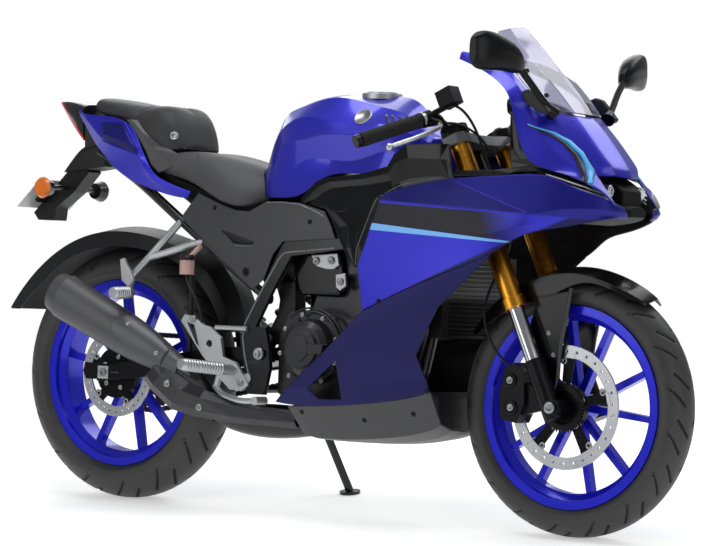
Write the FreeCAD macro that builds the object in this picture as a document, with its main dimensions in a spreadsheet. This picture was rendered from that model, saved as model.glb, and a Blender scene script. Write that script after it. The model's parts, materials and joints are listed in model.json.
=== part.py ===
import FreeCAD, Part
import math
import os
import re
import Sketcher

# A sport motorcycle leaning on its side stand, in millimetres.
# Every piece is drawn in the upright machine's axes: X forward, Y to the rider's
# left, Z up, with Z = 0 on the road and X = 0 below the rear axle. The last step
# leans the whole machine onto its stand.

V = FreeCAD.Vector
Placement = FreeCAD.Placement
Rotation = FreeCAD.Rotation

# Driving sizes
SIZES = {
    # wheels and tyres
    "front_tyre_radius": 296, "front_tyre_width": 100, "front_crown": 54,
    "rear_tyre_radius": 314, "rear_tyre_width": 140, "rear_crown": 76,
    "rim_radius": 232, "flange_height": 14, "barrel_wall": 6,
    "front_rim_width": 82, "rear_rim_width": 108, "flange_wall": 7,
    "spoke_pairs": 5, "spoke_width": 15, "spoke_depth": 24,
    "front_hub_radius": 31, "front_hub_width": 84,
    "rear_hub_radius": 42, "rear_hub_width": 92,
    "axle_radius": 10, "axle_bore": 5, "bearing_gap": 0.2,
    # brakes
    "front_disc_radius": 141, "front_disc_face": 28, "rear_disc_radius": 110,
    "rear_disc_face": 26, "disc_wall": 4.5, "front_disc_y": 56.5, "rear_disc_y": 60,
    "disc_holes": 30, "disc_hole_radius": 3.2,
    # final drive
    "chain_pitch": 15.875, "rear_teeth": 38, "drive_teeth": 13, "roller_radius": 5,
    "chain_y": 81, "chain_width": 12, "sprocket_wall": 5, "chain_gap": 0.6, "plate_wall": 2, "plate_bulge": 6.4,
    "plate_waist": 4.4, "tooth_gap": 8.6,
    "shaft_x": 578, "shaft_z": 372,
    # steering and fork
    "rake": 25, "head_x": 1002, "head_z": 880, "yoke_offset": 31.5, "axle_lead": 14.5,
    "leg_spread": 95, "fork_tube_radius": 24.5, "fork_tube_length": 430,
    "collar_radius": 28, "collar_height": 24, "stanchion_radius": 18.5, "foot_socket": 21,
    "foot_radius": 23, "foot_top": 545, "stem_radius": 13, "yoke_height": 24,
    "lower_yoke_drop": 205, "stem_gap": 0.5, "head_tube_radius": 24,
    # swingarm and rear end
    "pivot_x": 500, "pivot_z": 384, "swingarm_length": 505, "arm_y": 100, "arm_wall": 22, "frame_y": 113, "frame_wall": 12,
    "pivot_pin": 8, "rear_axle_reach": 121,
    # parking
    "park_lean": 9, "stand_x": 470, "stand_y": 128, "stand_z": 258, "stand_foot_x": 515,
    "stand_foot_y": 246, "stand_pin": 6, "stand_tube": 10,
    # bodywork
    "skin": 3.5, "screen_wall": 3,
    # number plate
    "plate_width": 200, "plate_height": 100, "plate_thick": 2, "plate_hole_pitch": 120,
    "plate_hole_radius": 3.5,
}

doc = FreeCAD.newDocument("sport_bike")
sheet = doc.addObject("Spreadsheet::Sheet", "Sizes")
for row, (alias, number) in enumerate(SIZES.items(), 1):
    sheet.set("A%d" % row, alias)
    sheet.set("B%d" % row, str(number))
    sheet.setAlias("B%d" % row, alias)
doc.recompute()


def cell(text):
    """Turn the size names in an expression into references to the sheet."""
    def swap(match):
        return "Sizes." + match.group(0) if match.group(0) in SIZES else match.group(0)
    return re.sub(r"[a-z_]+", swap, str(text))


def num(text):
    """The value of an expression of sizes."""
    value = sheet.evalExpression(cell(text))
    return float(getattr(value, "Value", value))


# Derived places
rake = math.radians(num("rake"))
FORK = Placement(V(num("head_x"), 0, num("head_z")), Rotation(V(0, 1, 0), -num("rake")))
front_reach = num("yoke_offset + axle_lead")
axle_drop = (num("head_z - front_tyre_radius") + front_reach * math.sin(rake)) / math.cos(rake)
FRONT_AXLE = FORK.multVec(V(front_reach, 0, -axle_drop))
rear_drop = num("pivot_z - rear_tyre_radius")
arm_run = math.sqrt(num("swingarm_length") ** 2 - rear_drop ** 2)
PIVOT = V(num("pivot_x"), 0, num("pivot_z"))
REAR_AXLE = PIVOT - V(arm_run, 0, rear_drop)
FRONT_WHEEL = Placement(FRONT_AXLE, Rotation())
REAR_WHEEL = Placement(REAR_AXLE, Rotation())
SWINGARM = Placement(PIVOT, Rotation(V(0, 1, 0), -math.degrees(math.atan2(rear_drop, arm_run))))
UPRIGHT = Placement()

# Lean onto the stand: both crowns stay on the road
lean = math.radians(num("park_lean"))
sink_front = num("front_crown") * (1 - math.cos(lean))
sink_rear = num("rear_crown") * (1 - math.cos(lean))
nose_down = math.degrees(math.atan2(sink_rear - sink_front, FRONT_AXLE.x - REAR_AXLE.x))
LEAN = Placement(V(), Rotation(V(0, 1, 0), nose_down).multiply(Rotation(V(1, 0, 0), -num("park_lean"))))
LEAN.Base = V(0, 0, sink_rear)

nodes = {}
counter = [0]


def fresh(kind, stem):
    counter[0] += 1
    return doc.addObject(kind, "%s%d" % (stem, counter[0]))


def keep(label, obj, place=UPRIGHT):
    """Register a finished sub-part under its own label."""
    obj.Label = label
    nodes[label] = (obj, place)
    return obj


def baked(shape):
    """The same shape with its own placement worked into its geometry."""
    still = shape.copy()
    matrix = still.Placement.toMatrix()
    still.Placement = Placement()
    still.transformShape(matrix, True)
    return still


def placed(label):
    """A finished sub-part's shape in the upright machine's axes."""
    obj, place = nodes[label]
    doc.recompute()
    shape = obj.Shape.copy()
    shape.Placement = place.multiply(shape.Placement)
    return shape


def feature(label, shape, place=UPRIGHT):
    obj = fresh("Part::Feature", "Form")
    obj.Shape = baked(shape)
    return keep(label, obj, place)


# Sketches and PartDesign features
def new_body(stem):
    return fresh("PartDesign::Body", stem)


def plane(body, role):
    return [item for item in body.Origin.OriginFeatures if item.Role == role][0]


def bind_point(sketch, geometry, position, x_text, y_text):
    for kind, text in (("DistanceX", x_text), ("DistanceY", y_text)):
        value = num(text)
        index = sketch.addConstraint(Sketcher.Constraint(kind, -1, 1, geometry, position, value))
        sketch.setExpression("Constraints[%d]" % index, cell(text))


def draw_loop(sketch, loop):
    """A closed loop of lines and arcs; ("arc", x, y) gives an arc's middle point."""
    corners = []
    middles = {}
    for item in loop:
        if item[0] == "arc":
            middles[len(corners) - 1] = item[1:]
        else:
            corners.append(item)
    spots = [V(num(a), num(b), 0) for a, b in corners]
    edges = []
    for index, start in enumerate(spots):
        end = spots[(index + 1) % len(spots)]
        if index in middles:
            middle = V(num(middles[index][0]), num(middles[index][1]), 0)
            added = sketch.addGeometry(Part.Arc(start, middle, end), False)
            forward = (sketch.Geometry[added].StartPoint - start).Length < 1e-6
            edges.append((added, 1 if forward else 2, 2 if forward else 1))
        else:
            added = sketch.addGeometry(Part.LineSegment(start, end), False)
            edges.append((added, 1, 2))
    for index, (added, first, last) in enumerate(edges):
        following = edges[(index + 1) % len(edges)]
        sketch.addConstraint(Sketcher.Constraint("Coincident", added, last, following[0], following[1]))
    for index, (added, first, last) in enumerate(edges):
        bind_point(sketch, added, first, *corners[index])
        if index in middles:
            x_text, y_text = middles[index]
            dot = sketch.addGeometry(Part.Point(V(num(x_text), num(y_text), 0)), True)
            bind_point(sketch, dot, 1, x_text, y_text)
            sketch.addConstraint(Sketcher.Constraint("PointOnObject", dot, 1, added))


def draw_circle(sketch, x_text, y_text, radius):
    circle = Part.Circle(V(num(x_text), num(y_text), 0), V(0, 0, 1), num(radius))
    added = sketch.addGeometry(circle, False)
    bind_point(sketch, added, 3, x_text, y_text)
    index = sketch.addConstraint(Sketcher.Constraint("Radius", added, num(radius)))
    sketch.setExpression("Constraints[%d]" % index, cell(radius))


def new_sketch(body, role, loops, offset="0"):
    counter[0] += 1
    sketch = body.newObject("Sketcher::SketchObject", "Profile%d" % counter[0])
    sketch.AttachmentSupport = [(plane(body, role), "")]
    sketch.MapMode = "FlatFace"
    sketch.AttachmentOffset = Placement(V(0, 0, num(offset)), Rotation())
    sketch.setExpression("AttachmentOffset.Base.z", cell(offset))
    for loop in loops:
        if loop[0] == "circle":
            draw_circle(sketch, *loop[1:])
        else:
            draw_loop(sketch, loop)
    return sketch


def pad(body, role, loops, length, offset="0", middle=True):
    sketch = new_sketch(body, role, loops, offset)
    counter[0] += 1
    feat = body.newObject("PartDesign::Pad", "Pad%d" % counter[0])
    feat.Profile = sketch
    if middle:
        feat.SideType = "Symmetric"
    feat.setExpression("Length", cell(length))
    doc.recompute()
    return feat


def pocket(body, role, loops):
    """Cut a profile right through, both ways."""
    sketch = new_sketch(body, role, loops)
    counter[0] += 1
    feat = body.newObject("PartDesign::Pocket", "Cut%d" % counter[0])
    feat.Profile = sketch
    feat.SideType = "Symmetric"
    feat.Type = "ThroughAll"
    doc.recompute()
    return feat


def revolve(body, loops, axis="H_Axis"):
    """Turn a section drawn in the Y-Z plane about the Y axis."""
    sketch = new_sketch(body, "YZ_Plane", loops)
    counter[0] += 1
    feat = body.newObject("PartDesign::Revolution", "Turn%d" % counter[0])
    feat.Profile = sketch
    feat.ReferenceAxis = (sketch, [axis])
    feat.Angle = 360
    doc.recompute()
    return feat


def around(body, features, count):
    """Repeat features about the body's Y axis."""
    counter[0] += 1
    feat = body.newObject("PartDesign::PolarPattern", "Around%d" % counter[0])
    feat.Originals = features
    feat.Axis = (plane(body, "Y_Axis"), [""])
    feat.Angle = 360
    feat.setExpression("Occurrences", cell(count))
    body.Tip = feat
    doc.recompute()
    return feat


# Part primitives and booleans
TURN = {"x": Rotation(V(0, 1, 0), 90), "y": Rotation(V(1, 0, 0), -90), "z": Rotation()}


def cylinder(radius, height, at, along="z"):
    obj = fresh("Part::Cylinder", "Round")
    obj.setExpression("Radius", cell(radius))
    obj.setExpression("Height", cell(height))
    obj.Placement = Placement(V(), TURN[along])
    for axis, text in zip("xyz", at):
        obj.setExpression("Placement.Base." + axis, cell(text))
    return obj


def union(*items):
    obj = fresh("Part::MultiFuse", "Union")
    obj.Shapes = list(items)
    return obj


def minus(base, tool):
    obj = fresh("Part::Cut", "Minus")
    obj.Base = base
    obj.Tool = tool
    return obj


def group(*items):
    obj = fresh("Part::Compound", "Group")
    obj.Links = list(items)
    return obj


# Free forms
def curve(points):
    line = Part.BSplineCurve()
    line.interpolate(Points=points, Parameters=[float(i) for i in range(len(points))])
    return line


def normals(rows):
    """Unit normals of a grid of points, from its neighbours."""
    out = []
    for j, row in enumerate(rows):
        line = []
        for i, spot in enumerate(row):
            along = row[min(i + 1, len(row) - 1)] - row[max(i - 1, 0)]
            across = rows[min(j + 1, len(rows) - 1)][i] - rows[max(j - 1, 0)][i]
            line.append(along.cross(across).normalize())
        out.append(line)
    return out


def skin(rows, wall):
    """A sheet of even wall through rows of points; each row is a sharp feature line."""
    rows = [[V(*spot) for spot in row] for row in rows]
    inner = [[spot + face * wall for spot, face in zip(row, line)]
             for row, line in zip(rows, normals(rows))]
    last = len(rows[0]) - 1
    outer_lines = [curve(row) for row in rows]
    inner_lines = [curve(row) for row in inner]
    outer_edges = [line.toShape(0, last) for line in outer_lines]
    inner_edges = [line.toShape(0, last) for line in inner_lines]
    faces = []
    for j in range(len(rows) - 1):
        faces.append(Part.makeRuledSurface(outer_edges[j], outer_edges[j + 1]))
        faces.append(Part.makeRuledSurface(inner_edges[j], inner_edges[j + 1]))
        for end in (0, last):
            side = Part.makeLine(outer_lines[j].value(end), outer_lines[j + 1].value(end))
            back = Part.makeLine(inner_lines[j].value(end), inner_lines[j + 1].value(end))
            faces.append(Part.makeRuledSurface(side, back))
    for j in (0, -1):
        faces.append(Part.makeRuledSurface(outer_edges[j], inner_edges[j]))
    shell = Part.makeShell(faces)
    shell.sewShape()
    solid = Part.Solid(shell.Shells[0])
    if solid.Volume < 0:
        solid.reverse()
    return solid


def mirrored(shape):
    return shape.mirror(V(0, 0, 0), V(0, 1, 0))


def both(shape):
    """The shape and its mirror image as two solids."""
    return Part.makeCompound([shape, mirrored(shape)])


def full_rows(half_rows):
    """Rows drawn from the centre line to the right, carried over to the left."""
    right = [[(x, -y, z) for x, y, z in row] for row in half_rows]
    left = [[(x, y, z) for x, y, z in row] for row in half_rows[1:]]
    return left[::-1] + right


def section(x, half):
    """A closed section across the machine from points (y, z), top to bottom."""
    right = [V(x, -y, z) for y, z in half]
    left = [V(x, y, z) for y, z in half if y > 0]
    points = left[::-1] + right
    top = curve(points).toShape(0, len(points) - 1)
    return Part.Wire([top, Part.makeLine(points[-1], points[0])])


def hull(stations):
    return Part.makeLoft([section(x, half) for x, half in stations], True)


def slab(outline, y_start, y_end):
    """A flat plate from an X-Z outline."""
    spots = [V(x, y_start, z) for x, z in outline]
    face = Part.Face(Part.makePolygon(spots + spots[:1]))
    return face.extrude(V(0, y_end - y_start, 0))


def rod(start, end, radius, end_radius=None):
    start = V(*start)
    axis = V(*end) - start
    if end_radius is None or abs(end_radius - radius) < 1e-6:
        return Part.makeCylinder(radius, axis.Length, start, axis)
    return Part.makeCone(radius, end_radius, axis.Length, start, axis)


def route(points, share=0.45):
    """Straight runs joined by tangent arcs as large as the runs allow."""
    spots = [V(*spot) for spot in points]
    edges = []
    last = spots[0]
    for before, here, after in zip(spots, spots[1:], spots[2:]):
        arrive = (here - before).normalize()
        leave = (after - here).normalize()
        cut = share * min((here - before).Length, (after - here).Length)
        start = here - arrive * cut
        end = here + leave * cut
        turn = arrive.getAngle(leave)
        radius = cut / math.tan(turn / 2)
        centre_way = (leave - arrive).normalize()
        middle = here + centre_way * (radius / math.cos(turn / 2) - radius)
        edges.append(Part.makeLine(last, start))
        edges.append(Part.Arc(start, middle, end).toShape())
        last = end
    edges.append(Part.makeLine(last, spots[-1]))
    return Part.Wire(edges)


def pipe(points, radius, share=0.45):
    path = route(points, share)
    start = V(*points[0])
    ring = Part.Wire(Part.makeCircle(radius, start, V(*points[1]) - start))
    return path.makePipeShell([ring], True, True)


def fused(*shapes):
    whole = shapes[0].multiFuse(list(shapes[1:]))
    return whole.removeSplitter()


def fork_point(x, y, z):
    """A point of the upright machine in the fork's own axes."""
    return tuple(FORK.inverse().multVec(V(x, y, z)))


# Wheels
def make_tyre(label, side, place):
    """A solid ring with an arched crown, seated on the rim between its flanges."""
    radius = side + "_tyre_radius"
    width = side + "_tyre_width"
    crown = side + "_crown"
    seat = "rim_radius - flange_height"
    bead = "%s_rim_width / 2 - flange_wall" % side
    shoulder = width + " * 0.47"
    shoulder_z = "%s - %s + sqrt(%s ^ 2 - (%s) ^ 2)" % (radius, crown, crown, shoulder)
    widest_z = "rim_radius + (%s - rim_radius) * 0.28" % radius
    body = new_body("Tyre")
    revolve(body, [[("-(%s)" % bead, seat), (bead, seat), (bead, "rim_radius"),
                    ("arc", width + " / 2", widest_z), (shoulder, shoulder_z),
                    ("arc", "0", radius), ("-(%s)" % shoulder, shoulder_z),
                    ("arc", "-%s / 2" % width, widest_z), ("-(%s)" % bead, "rim_radius")]])
    return keep(label, body, place)


def make_rim(label, side, place):
    """A cast wheel: barrel with two flanges, hub, and thin spokes in pairs."""
    half = side + "_rim_width / 2"
    seat = "rim_radius - flange_height"
    floor = "rim_radius - flange_height - barrel_wall"
    well = "rim_radius - flange_height - 16"
    hub = side + "_hub_radius"
    hub_half = side + "_hub_width / 2"
    bore = "axle_radius + bearing_gap"
    body = new_body("Rim")
    revolve(body, [[("-(%s)" % half, floor), ("-(%s) + 14" % half, floor),
                    ("-(%s) + 26" % half, well + " - barrel_wall"),
                    ("%s - 26" % half, well + " - barrel_wall"), ("%s - 14" % half, floor),
                    (half, floor), (half, "rim_radius"), ("%s - flange_wall" % half, "rim_radius"),
                    ("%s - flange_wall" % half, seat), ("%s - 14" % half, seat),
                    ("%s - 24" % half, well), ("-(%s) + 24" % half, well),
                    ("-(%s) + 14" % half, seat), ("-(%s) + flange_wall" % half, seat),
                    ("-(%s) + flange_wall" % half, "rim_radius"), ("-(%s)" % half, "rim_radius")]])
    foot = "rim_radius - flange_height - 18"
    spread = 15.5
    lean_in = 8.0
    loops = []
    for sign in (1, -1):
        outer = math.radians(82 + sign * spread)
        inner = math.radians(82 + sign * lean_in)
        root = "(%s - 8)" % hub
        wide = "spoke_width / 2"
        loops.append([("%s * %f - %s * 1.3" % (root, math.cos(inner), wide), "%s * %f" % (root, math.sin(inner))),
                      ("%s * %f + %s * 1.3" % (root, math.cos(inner), wide), "%s * %f" % (root, math.sin(inner))),
                      ("(%s) * %f + %s" % (foot, math.cos(outer), wide), "(%s) * %f" % (foot, math.sin(outer))),
                      ("(%s) * %f - %s" % (foot, math.cos(outer), wide), "(%s) * %f" % (foot, math.sin(outer)))])
    first = pad(body, "XZ_Plane", [loops[0]], "spoke_depth")
    second = pad(body, "XZ_Plane", [loops[1]], "spoke_depth")
    around(body, [first, second], "spoke_pairs")
    pad(body, "XZ_Plane", [("circle", "0", "0", hub)], side + "_hub_width")
    pocket(body, "XZ_Plane", [("circle", "0", "0", bore)])
    return keep(label, body, place)


def make_disc(label, side, hub, place):
    """A drilled brake disc on its carrier arms, bolted to the right of the hub."""
    radius = side + "_disc_radius"
    inside = "%s_disc_radius - %s_disc_face" % (side, side)
    body = new_body("Disc")
    offset = side + "_disc_y"
    pad(body, "XZ_Plane", [("circle", "0", "0", radius), ("circle", "0", "0", inside)],
        "disc_wall", offset)
    ring = hub + " + 22"
    arm = pad(body, "XZ_Plane", [[("-10", ring + " - 8"), ("10", ring + " - 8"),
                                  ("22", inside + " + 6"), ("6", inside + " + 9"),
                                  ("-6", inside + " + 5")]], "disc_wall + 2", offset)
    around(body, [arm], "5")
    pad(body, "XZ_Plane", [("circle", "0", "0", ring), ("circle", "0", "0", "16")],
        "%s - %s_hub_width / 2 + disc_wall" % (offset, side),
        "(%s + %s_hub_width / 2 + disc_wall) / 2" % (offset, side))
    hole = pocket(body, "XZ_Plane", [("circle", "0", "%s - %s_disc_face * 0.5" % (radius, side),
                                      "disc_hole_radius")])
    around(body, [hole], "disc_holes")
    return keep(label, body, place)


def make_wheels():
    make_tyre("front_tyre", "front", FRONT_WHEEL)
    make_rim("front_rim", "front", FRONT_WHEEL)
    make_disc("front_disc", "front", "front_hub_radius", FRONT_WHEEL)
    make_tyre("rear_tyre", "rear", REAR_WHEEL)
    make_rim("rear_rim", "rear", REAR_WHEEL)
    make_disc("rear_disc", "rear", "rear_hub_radius", REAR_WHEEL)


# Final drive
def pitch_radius(teeth):
    return num("chain_pitch") / (2 * math.sin(math.pi / num(teeth)))


def make_sprocket():
    """The rear sprocket: teeth under the chain's rollers, windows and its carrier boss."""
    pitch = "chain_pitch / (2 * sin(180 deg / rear_teeth))"
    body = new_body("Sprocket")
    pad(body, "XZ_Plane", [("circle", "0", "0", pitch + " - roller_radius - chain_gap"), ("circle", "0", "0", "16")],
        "sprocket_wall", "-chain_y")
    gap = pocket(body, "XZ_Plane", [("circle", "0", pitch, "tooth_gap")])
    around(body, [gap], "rear_teeth")
    window = pocket(body, "XZ_Plane", [("circle", "0", "(%s + rear_hub_radius) / 2 - 2" % pitch, "12")])
    around(body, [window], "6")
    pad(body, "XZ_Plane", [("circle", "0", "0", "rear_hub_radius"), ("circle", "0", "0", "16")],
        "chain_y - rear_hub_width / 2", "-(chain_y + rear_hub_width / 2) / 2")
    return keep("rear_sprocket", body, REAR_WHEEL)


def make_chain():
    """The chain round both sprockets: side plates with a waist in each link, and rollers."""
    big = pitch_radius("rear_teeth")
    small = pitch_radius("drive_teeth")
    start = REAR_AXLE
    end = V(num("shaft_x"), 0, num("shaft_z"))
    way = end - start
    tilt = math.atan2(way.z, way.x)
    swing = math.acos((big - small) / way.Length)
    straight = math.sqrt(way.Length ** 2 - (big - small) ** 2)
    front_arc = 2 * swing * small
    rear_arc = (2 * math.pi - 2 * swing) * big
    whole_length = front_arc + rear_arc + 2 * straight
    links = 2 * round(whole_length / num("chain_pitch") / 2)

    def spot(share, grow):
        """A point of the loop, and the way out of it, at a share of its length."""
        run = (share % 1.0) * whole_length
        if run < front_arc:
            angle = tilt + swing - run / small
            out = V(math.cos(angle), 0, math.sin(angle))
            return end + out * (small + grow)
        run -= front_arc
        low = tilt - swing
        if run < straight:
            out = V(math.cos(low), 0, math.sin(low))
            return end + out * (small + grow) + V(-math.sin(-low), 0, -math.cos(low)) * run
        run -= straight
        if run < rear_arc:
            angle = low - run / big
            out = V(math.cos(angle), 0, math.sin(angle))
            return start + out * (big + grow)
        run -= rear_arc
        high = tilt + swing
        out = V(math.cos(high), 0, math.sin(high))
        return start + out * (big + grow) + V(math.sin(high), 0, -math.cos(high)) * run

    def scalloped(sign):
        edges = []
        for link in range(links):
            first, pin, last = [(link + part) / links for part in (-0.5, 0, 0.5)]
            edges.append(Part.Arc(spot(first, sign * num("plate_waist")), spot(pin, sign * num("plate_bulge")),
                                  spot(last, sign * num("plate_waist"))).toShape())
        return Part.Face(Part.Wire(edges))
    face = scalloped(1).cut(scalloped(-1))
    wall = num("plate_wall")
    half = num("chain_width") / 2
    parts = []
    for sign in (1, -1):
        plate = face.copy()
        plate.translate(V(0, num("chain_y") + sign * half, 0))
        parts.append(plate.extrude(V(0, -sign * wall, 0)))
    for link in range(links):
        parts.append(Part.makeCylinder(num("roller_radius"), 2 * half - 2 * wall,
                                       spot(link / links, 0) + V(0, num("chain_y") - half + wall, 0), V(0, 1, 0)))
    feature("drive_chain", parts[0].multiFuse(parts[1:]))


# Steering
def make_yokes():
    """Two tapered clamps on one stem; their bores hold the fork legs."""
    body = new_body("Yokes")
    wide = "leg_spread + fork_tube_radius + 9"
    outline = [("-24", "-26"), ("8", "-leg_spread - 10"), ("yoke_offset - 20", "-(%s)" % wide),
               ("yoke_offset + 20", "-(%s)" % wide), ("yoke_offset + 32", "-leg_spread - 12"),
               ("yoke_offset + 20", "-30"), ("yoke_offset + 20", "30"), ("yoke_offset + 32", "leg_spread + 12"),
               ("yoke_offset + 20", wide), ("yoke_offset - 20", wide), ("8", "leg_spread + 10"), ("-24", "26")]
    pad(body, "XY_Plane", [("circle", "0", "0", "stem_radius")], "lower_yoke_drop", "-lower_yoke_drop / 2")
    pad(body, "XY_Plane", [outline], "yoke_height")
    pad(body, "XY_Plane", [outline], "yoke_height", "yoke_height / 2 - lower_yoke_drop")
    pocket(body, "XY_Plane", [("circle", "yoke_offset", sign + "leg_spread", "fork_tube_radius")
                              for sign in ("", "-")])
    keep("yokes", body, FORK)


def make_fork():
    tubes = []
    inner = []
    feet = []
    for sign in ("1", "-1"):
        spot = ("yoke_offset", "%s * leg_spread" % sign)
        tube = cylinder("fork_tube_radius", "fork_tube_length", spot + ("12 - fork_tube_length",))
        collar = cylinder("collar_radius", "collar_height", spot + ("12 - fork_tube_length",))
        bore = cylinder("stanchion_radius + 0.3", "fork_tube_length - 20", spot + ("11 - fork_tube_length",))
        tubes.append(minus(union(tube, collar), bore))
        inner.append(cylinder("stanchion_radius", "foot_top + foot_socket - fork_tube_length + 52",
                              spot + ("-foot_top - foot_socket",)))
        foot_height = "%f - foot_top + 24" % axle_drop
        foot = cylinder("foot_radius", foot_height, spot + ("-foot_top - (%s)" % foot_height,))
        lug = cylinder("20", "2 * foot_radius", ("yoke_offset + axle_lead",
                       "%s * leg_spread - foot_radius" % sign, "%f" % -axle_drop), "y")
        socket = cylinder("stanchion_radius", "30", spot + ("-foot_top - foot_socket",))
        hole = cylinder("axle_radius", "4 * foot_radius", ("yoke_offset + axle_lead",
                        "%s * leg_spread - 2 * foot_radius" % sign, "%f" % -axle_drop), "y")
        feet.append(minus(union(foot, lug), union(socket, hole)))
    keep("fork_tubes", group(*tubes), FORK)
    keep("fork_stanchions", group(*inner), FORK)
    keep("fork_feet", group(*feet), FORK)
    reach = "leg_spread + foot_radius + 4"
    axle = cylinder("axle_radius", "2 * (%s)" % reach, ("0", "-(%s)" % reach, "0"), "y")
    hollow = cylinder("axle_bore", "2 * (%s) + 2" % reach, ("0", "-(%s) - 1" % reach, "0"), "y")
    keep("front_axle", minus(axle, hollow), FRONT_WHEEL)


def make_handlebars():
    """Clip-on bars: a clamp on each fork tube, a riser and the bar itself."""
    offset = num("yoke_offset")
    spread = num("leg_spread")
    tube = num("fork_tube_radius")
    clamp = Part.makeCylinder(tube + 8, 22, V(offset, -spread, 12.3))
    inner = fork_point(1000, -205, 935)
    tip = fork_point(930, -338, 882)
    riser_foot = (offset - 6, -spread - 18, 24)
    bar = pipe([riser_foot, fork_point(1016, -165, 948), inner, tip], 10.5, 0.3)
    weight = rod(tip, fork_point(924, -349, 877), 15)
    feature("handlebars", both(fused(clamp, bar, weight)), FORK)
    axis = V(*tip) - V(*inner)
    grip = Part.makeCylinder(17, axis.Length - 4, V(*inner) + axis.normalize() * 2, axis)
    hole = Part.makeCylinder(10.7, axis.Length + 240, V(*inner) - axis.normalize() * 4, axis)
    feature("grips", both(grip.cut(hole)), FORK)


def make_levers():
    """Lever perch, lever and switch pod on each bar, with the brake fluid cup on the right."""
    inner = V(*fork_point(1000, -205, 935))
    perch = rod(fork_point(1001, -203, 935), fork_point(1010, -182, 943), 19)
    arm = pipe([fork_point(1012, -190, 942), fork_point(1062, -200, 925), fork_point(1048, -270, 895),
                fork_point(1012, -335, 868)], 6, 0.4)
    ball = Part.makeSphere(9, V(*fork_point(1011, -337, 867)))
    lever = fused(perch, arm, ball)
    bar_cut = pipe([(num("yoke_offset") - 6, -num("leg_spread") - 18, 24), fork_point(1016, -165, 948),
                    tuple(inner), fork_point(930, -338, 882)], 10.5, 0.3)
    lever = lever.cut(bar_cut)
    cup = Part.makeBox(42, 40, 40, V(*fork_point(1035, -180, 963)))
    stalk = rod(fork_point(1008, -188, 945), fork_point(1050, -160, 975), 7)
    right = fused(lever, stalk.cut(bar_cut), cup)
    feature("levers", Part.makeCompound([right, mirrored(lever)]), FORK)


def make_front_fender():
    """A thin guard over the tyre with skirts that reach down inside the fork legs."""
    crown = []
    edge = []
    skirt = []
    centre = FRONT_AXLE
    radius = num("front_tyre_radius")
    for angle, lift, half, skirt_radius in ((52, 22, 30, 300), (66, 20, 56, 292), (82, 20, 60, 285),
                                            (98, 20, 61, 258), (114, 20, 61, 255), (130, 20, 61, 268),
                                            (148, 20, 58, 288)):
        way = V(math.cos(math.radians(angle)), 0, math.sin(math.radians(angle)))
        crown.append(tuple(centre + way * (radius + lift)))
        top = centre + way * (radius + lift - 16)
        edge.append((top.x, half, top.z))
        low = centre + way * skirt_radius
        skirt.append((low.x, half + 1, low.z))
    sheet_form = skin(full_rows([crown, edge, skirt]), num("skin"))
    tongue = [(1238, 505), (1245, 540), (1340, 560), (1326, 490), (1314, 430), (1312, 360), (1302, 332),
              (1284, 336), (1252, 385), (1226, 470)]
    near = num("leg_spread - foot_radius") - 0.3
    spot = FORK.multVec(V(num("yoke_offset"), 0, -num("foot_top") - 20))
    stays = []
    for sign in (1, -1):
        stays.append(slab(tongue, sign * 64, sign * 68))
        stays.append(slab([(1238, 505), (1245, 545), (1336, 560), (1324, 480)], sign * 58, sign * 66))
        stays.append(rod((spot.x, sign * near, spot.z), (spot.x, sign * 66, spot.z), 7))
    feature("front_fender", fused(sheet_form, *stays), UPRIGHT)


def make_front_brake():
    """Caliper straddling the disc, on a lug of the right fork foot."""
    centre = FRONT_AXLE
    disc_y = -num("front_disc_y")
    form = slab([(1172, 262), (1215, 255), (1236, 300), (1232, 372), (1205, 392), (1180, 378), (1166, 320)],
                disc_y - 34, disc_y + 22)
    slot = Part.makeCylinder(num("front_disc_radius") + 4, num("disc_wall") + 3,
                             V(centre.x, disc_y - num("disc_wall") / 2 - 1.5, centre.z), V(0, 1, 0))
    bracket = slab([(1215, 270), (1290, 290), (1296, 316), (1225, 352)], disc_y - 24, disc_y - 10)
    whole = fused(form.cut(slot), bracket.cut(slot))
    feature("front_caliper", whole.cut(placed("fork_feet")), UPRIGHT)


def beam(stations):
    """A tapering box beam from sections (x, y, z, width, height) across the machine."""
    rings = []
    for x, y, z, width, height in stations:
        corners = [V(x, y + a * width / 2, z + b * height / 2) for a, b in ((-1, -1), (1, -1), (1, 1), (-1, 1))]
        rings.append(Part.makePolygon(corners + corners[:1]))
    return Part.makeLoft(rings, True, True)


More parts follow.
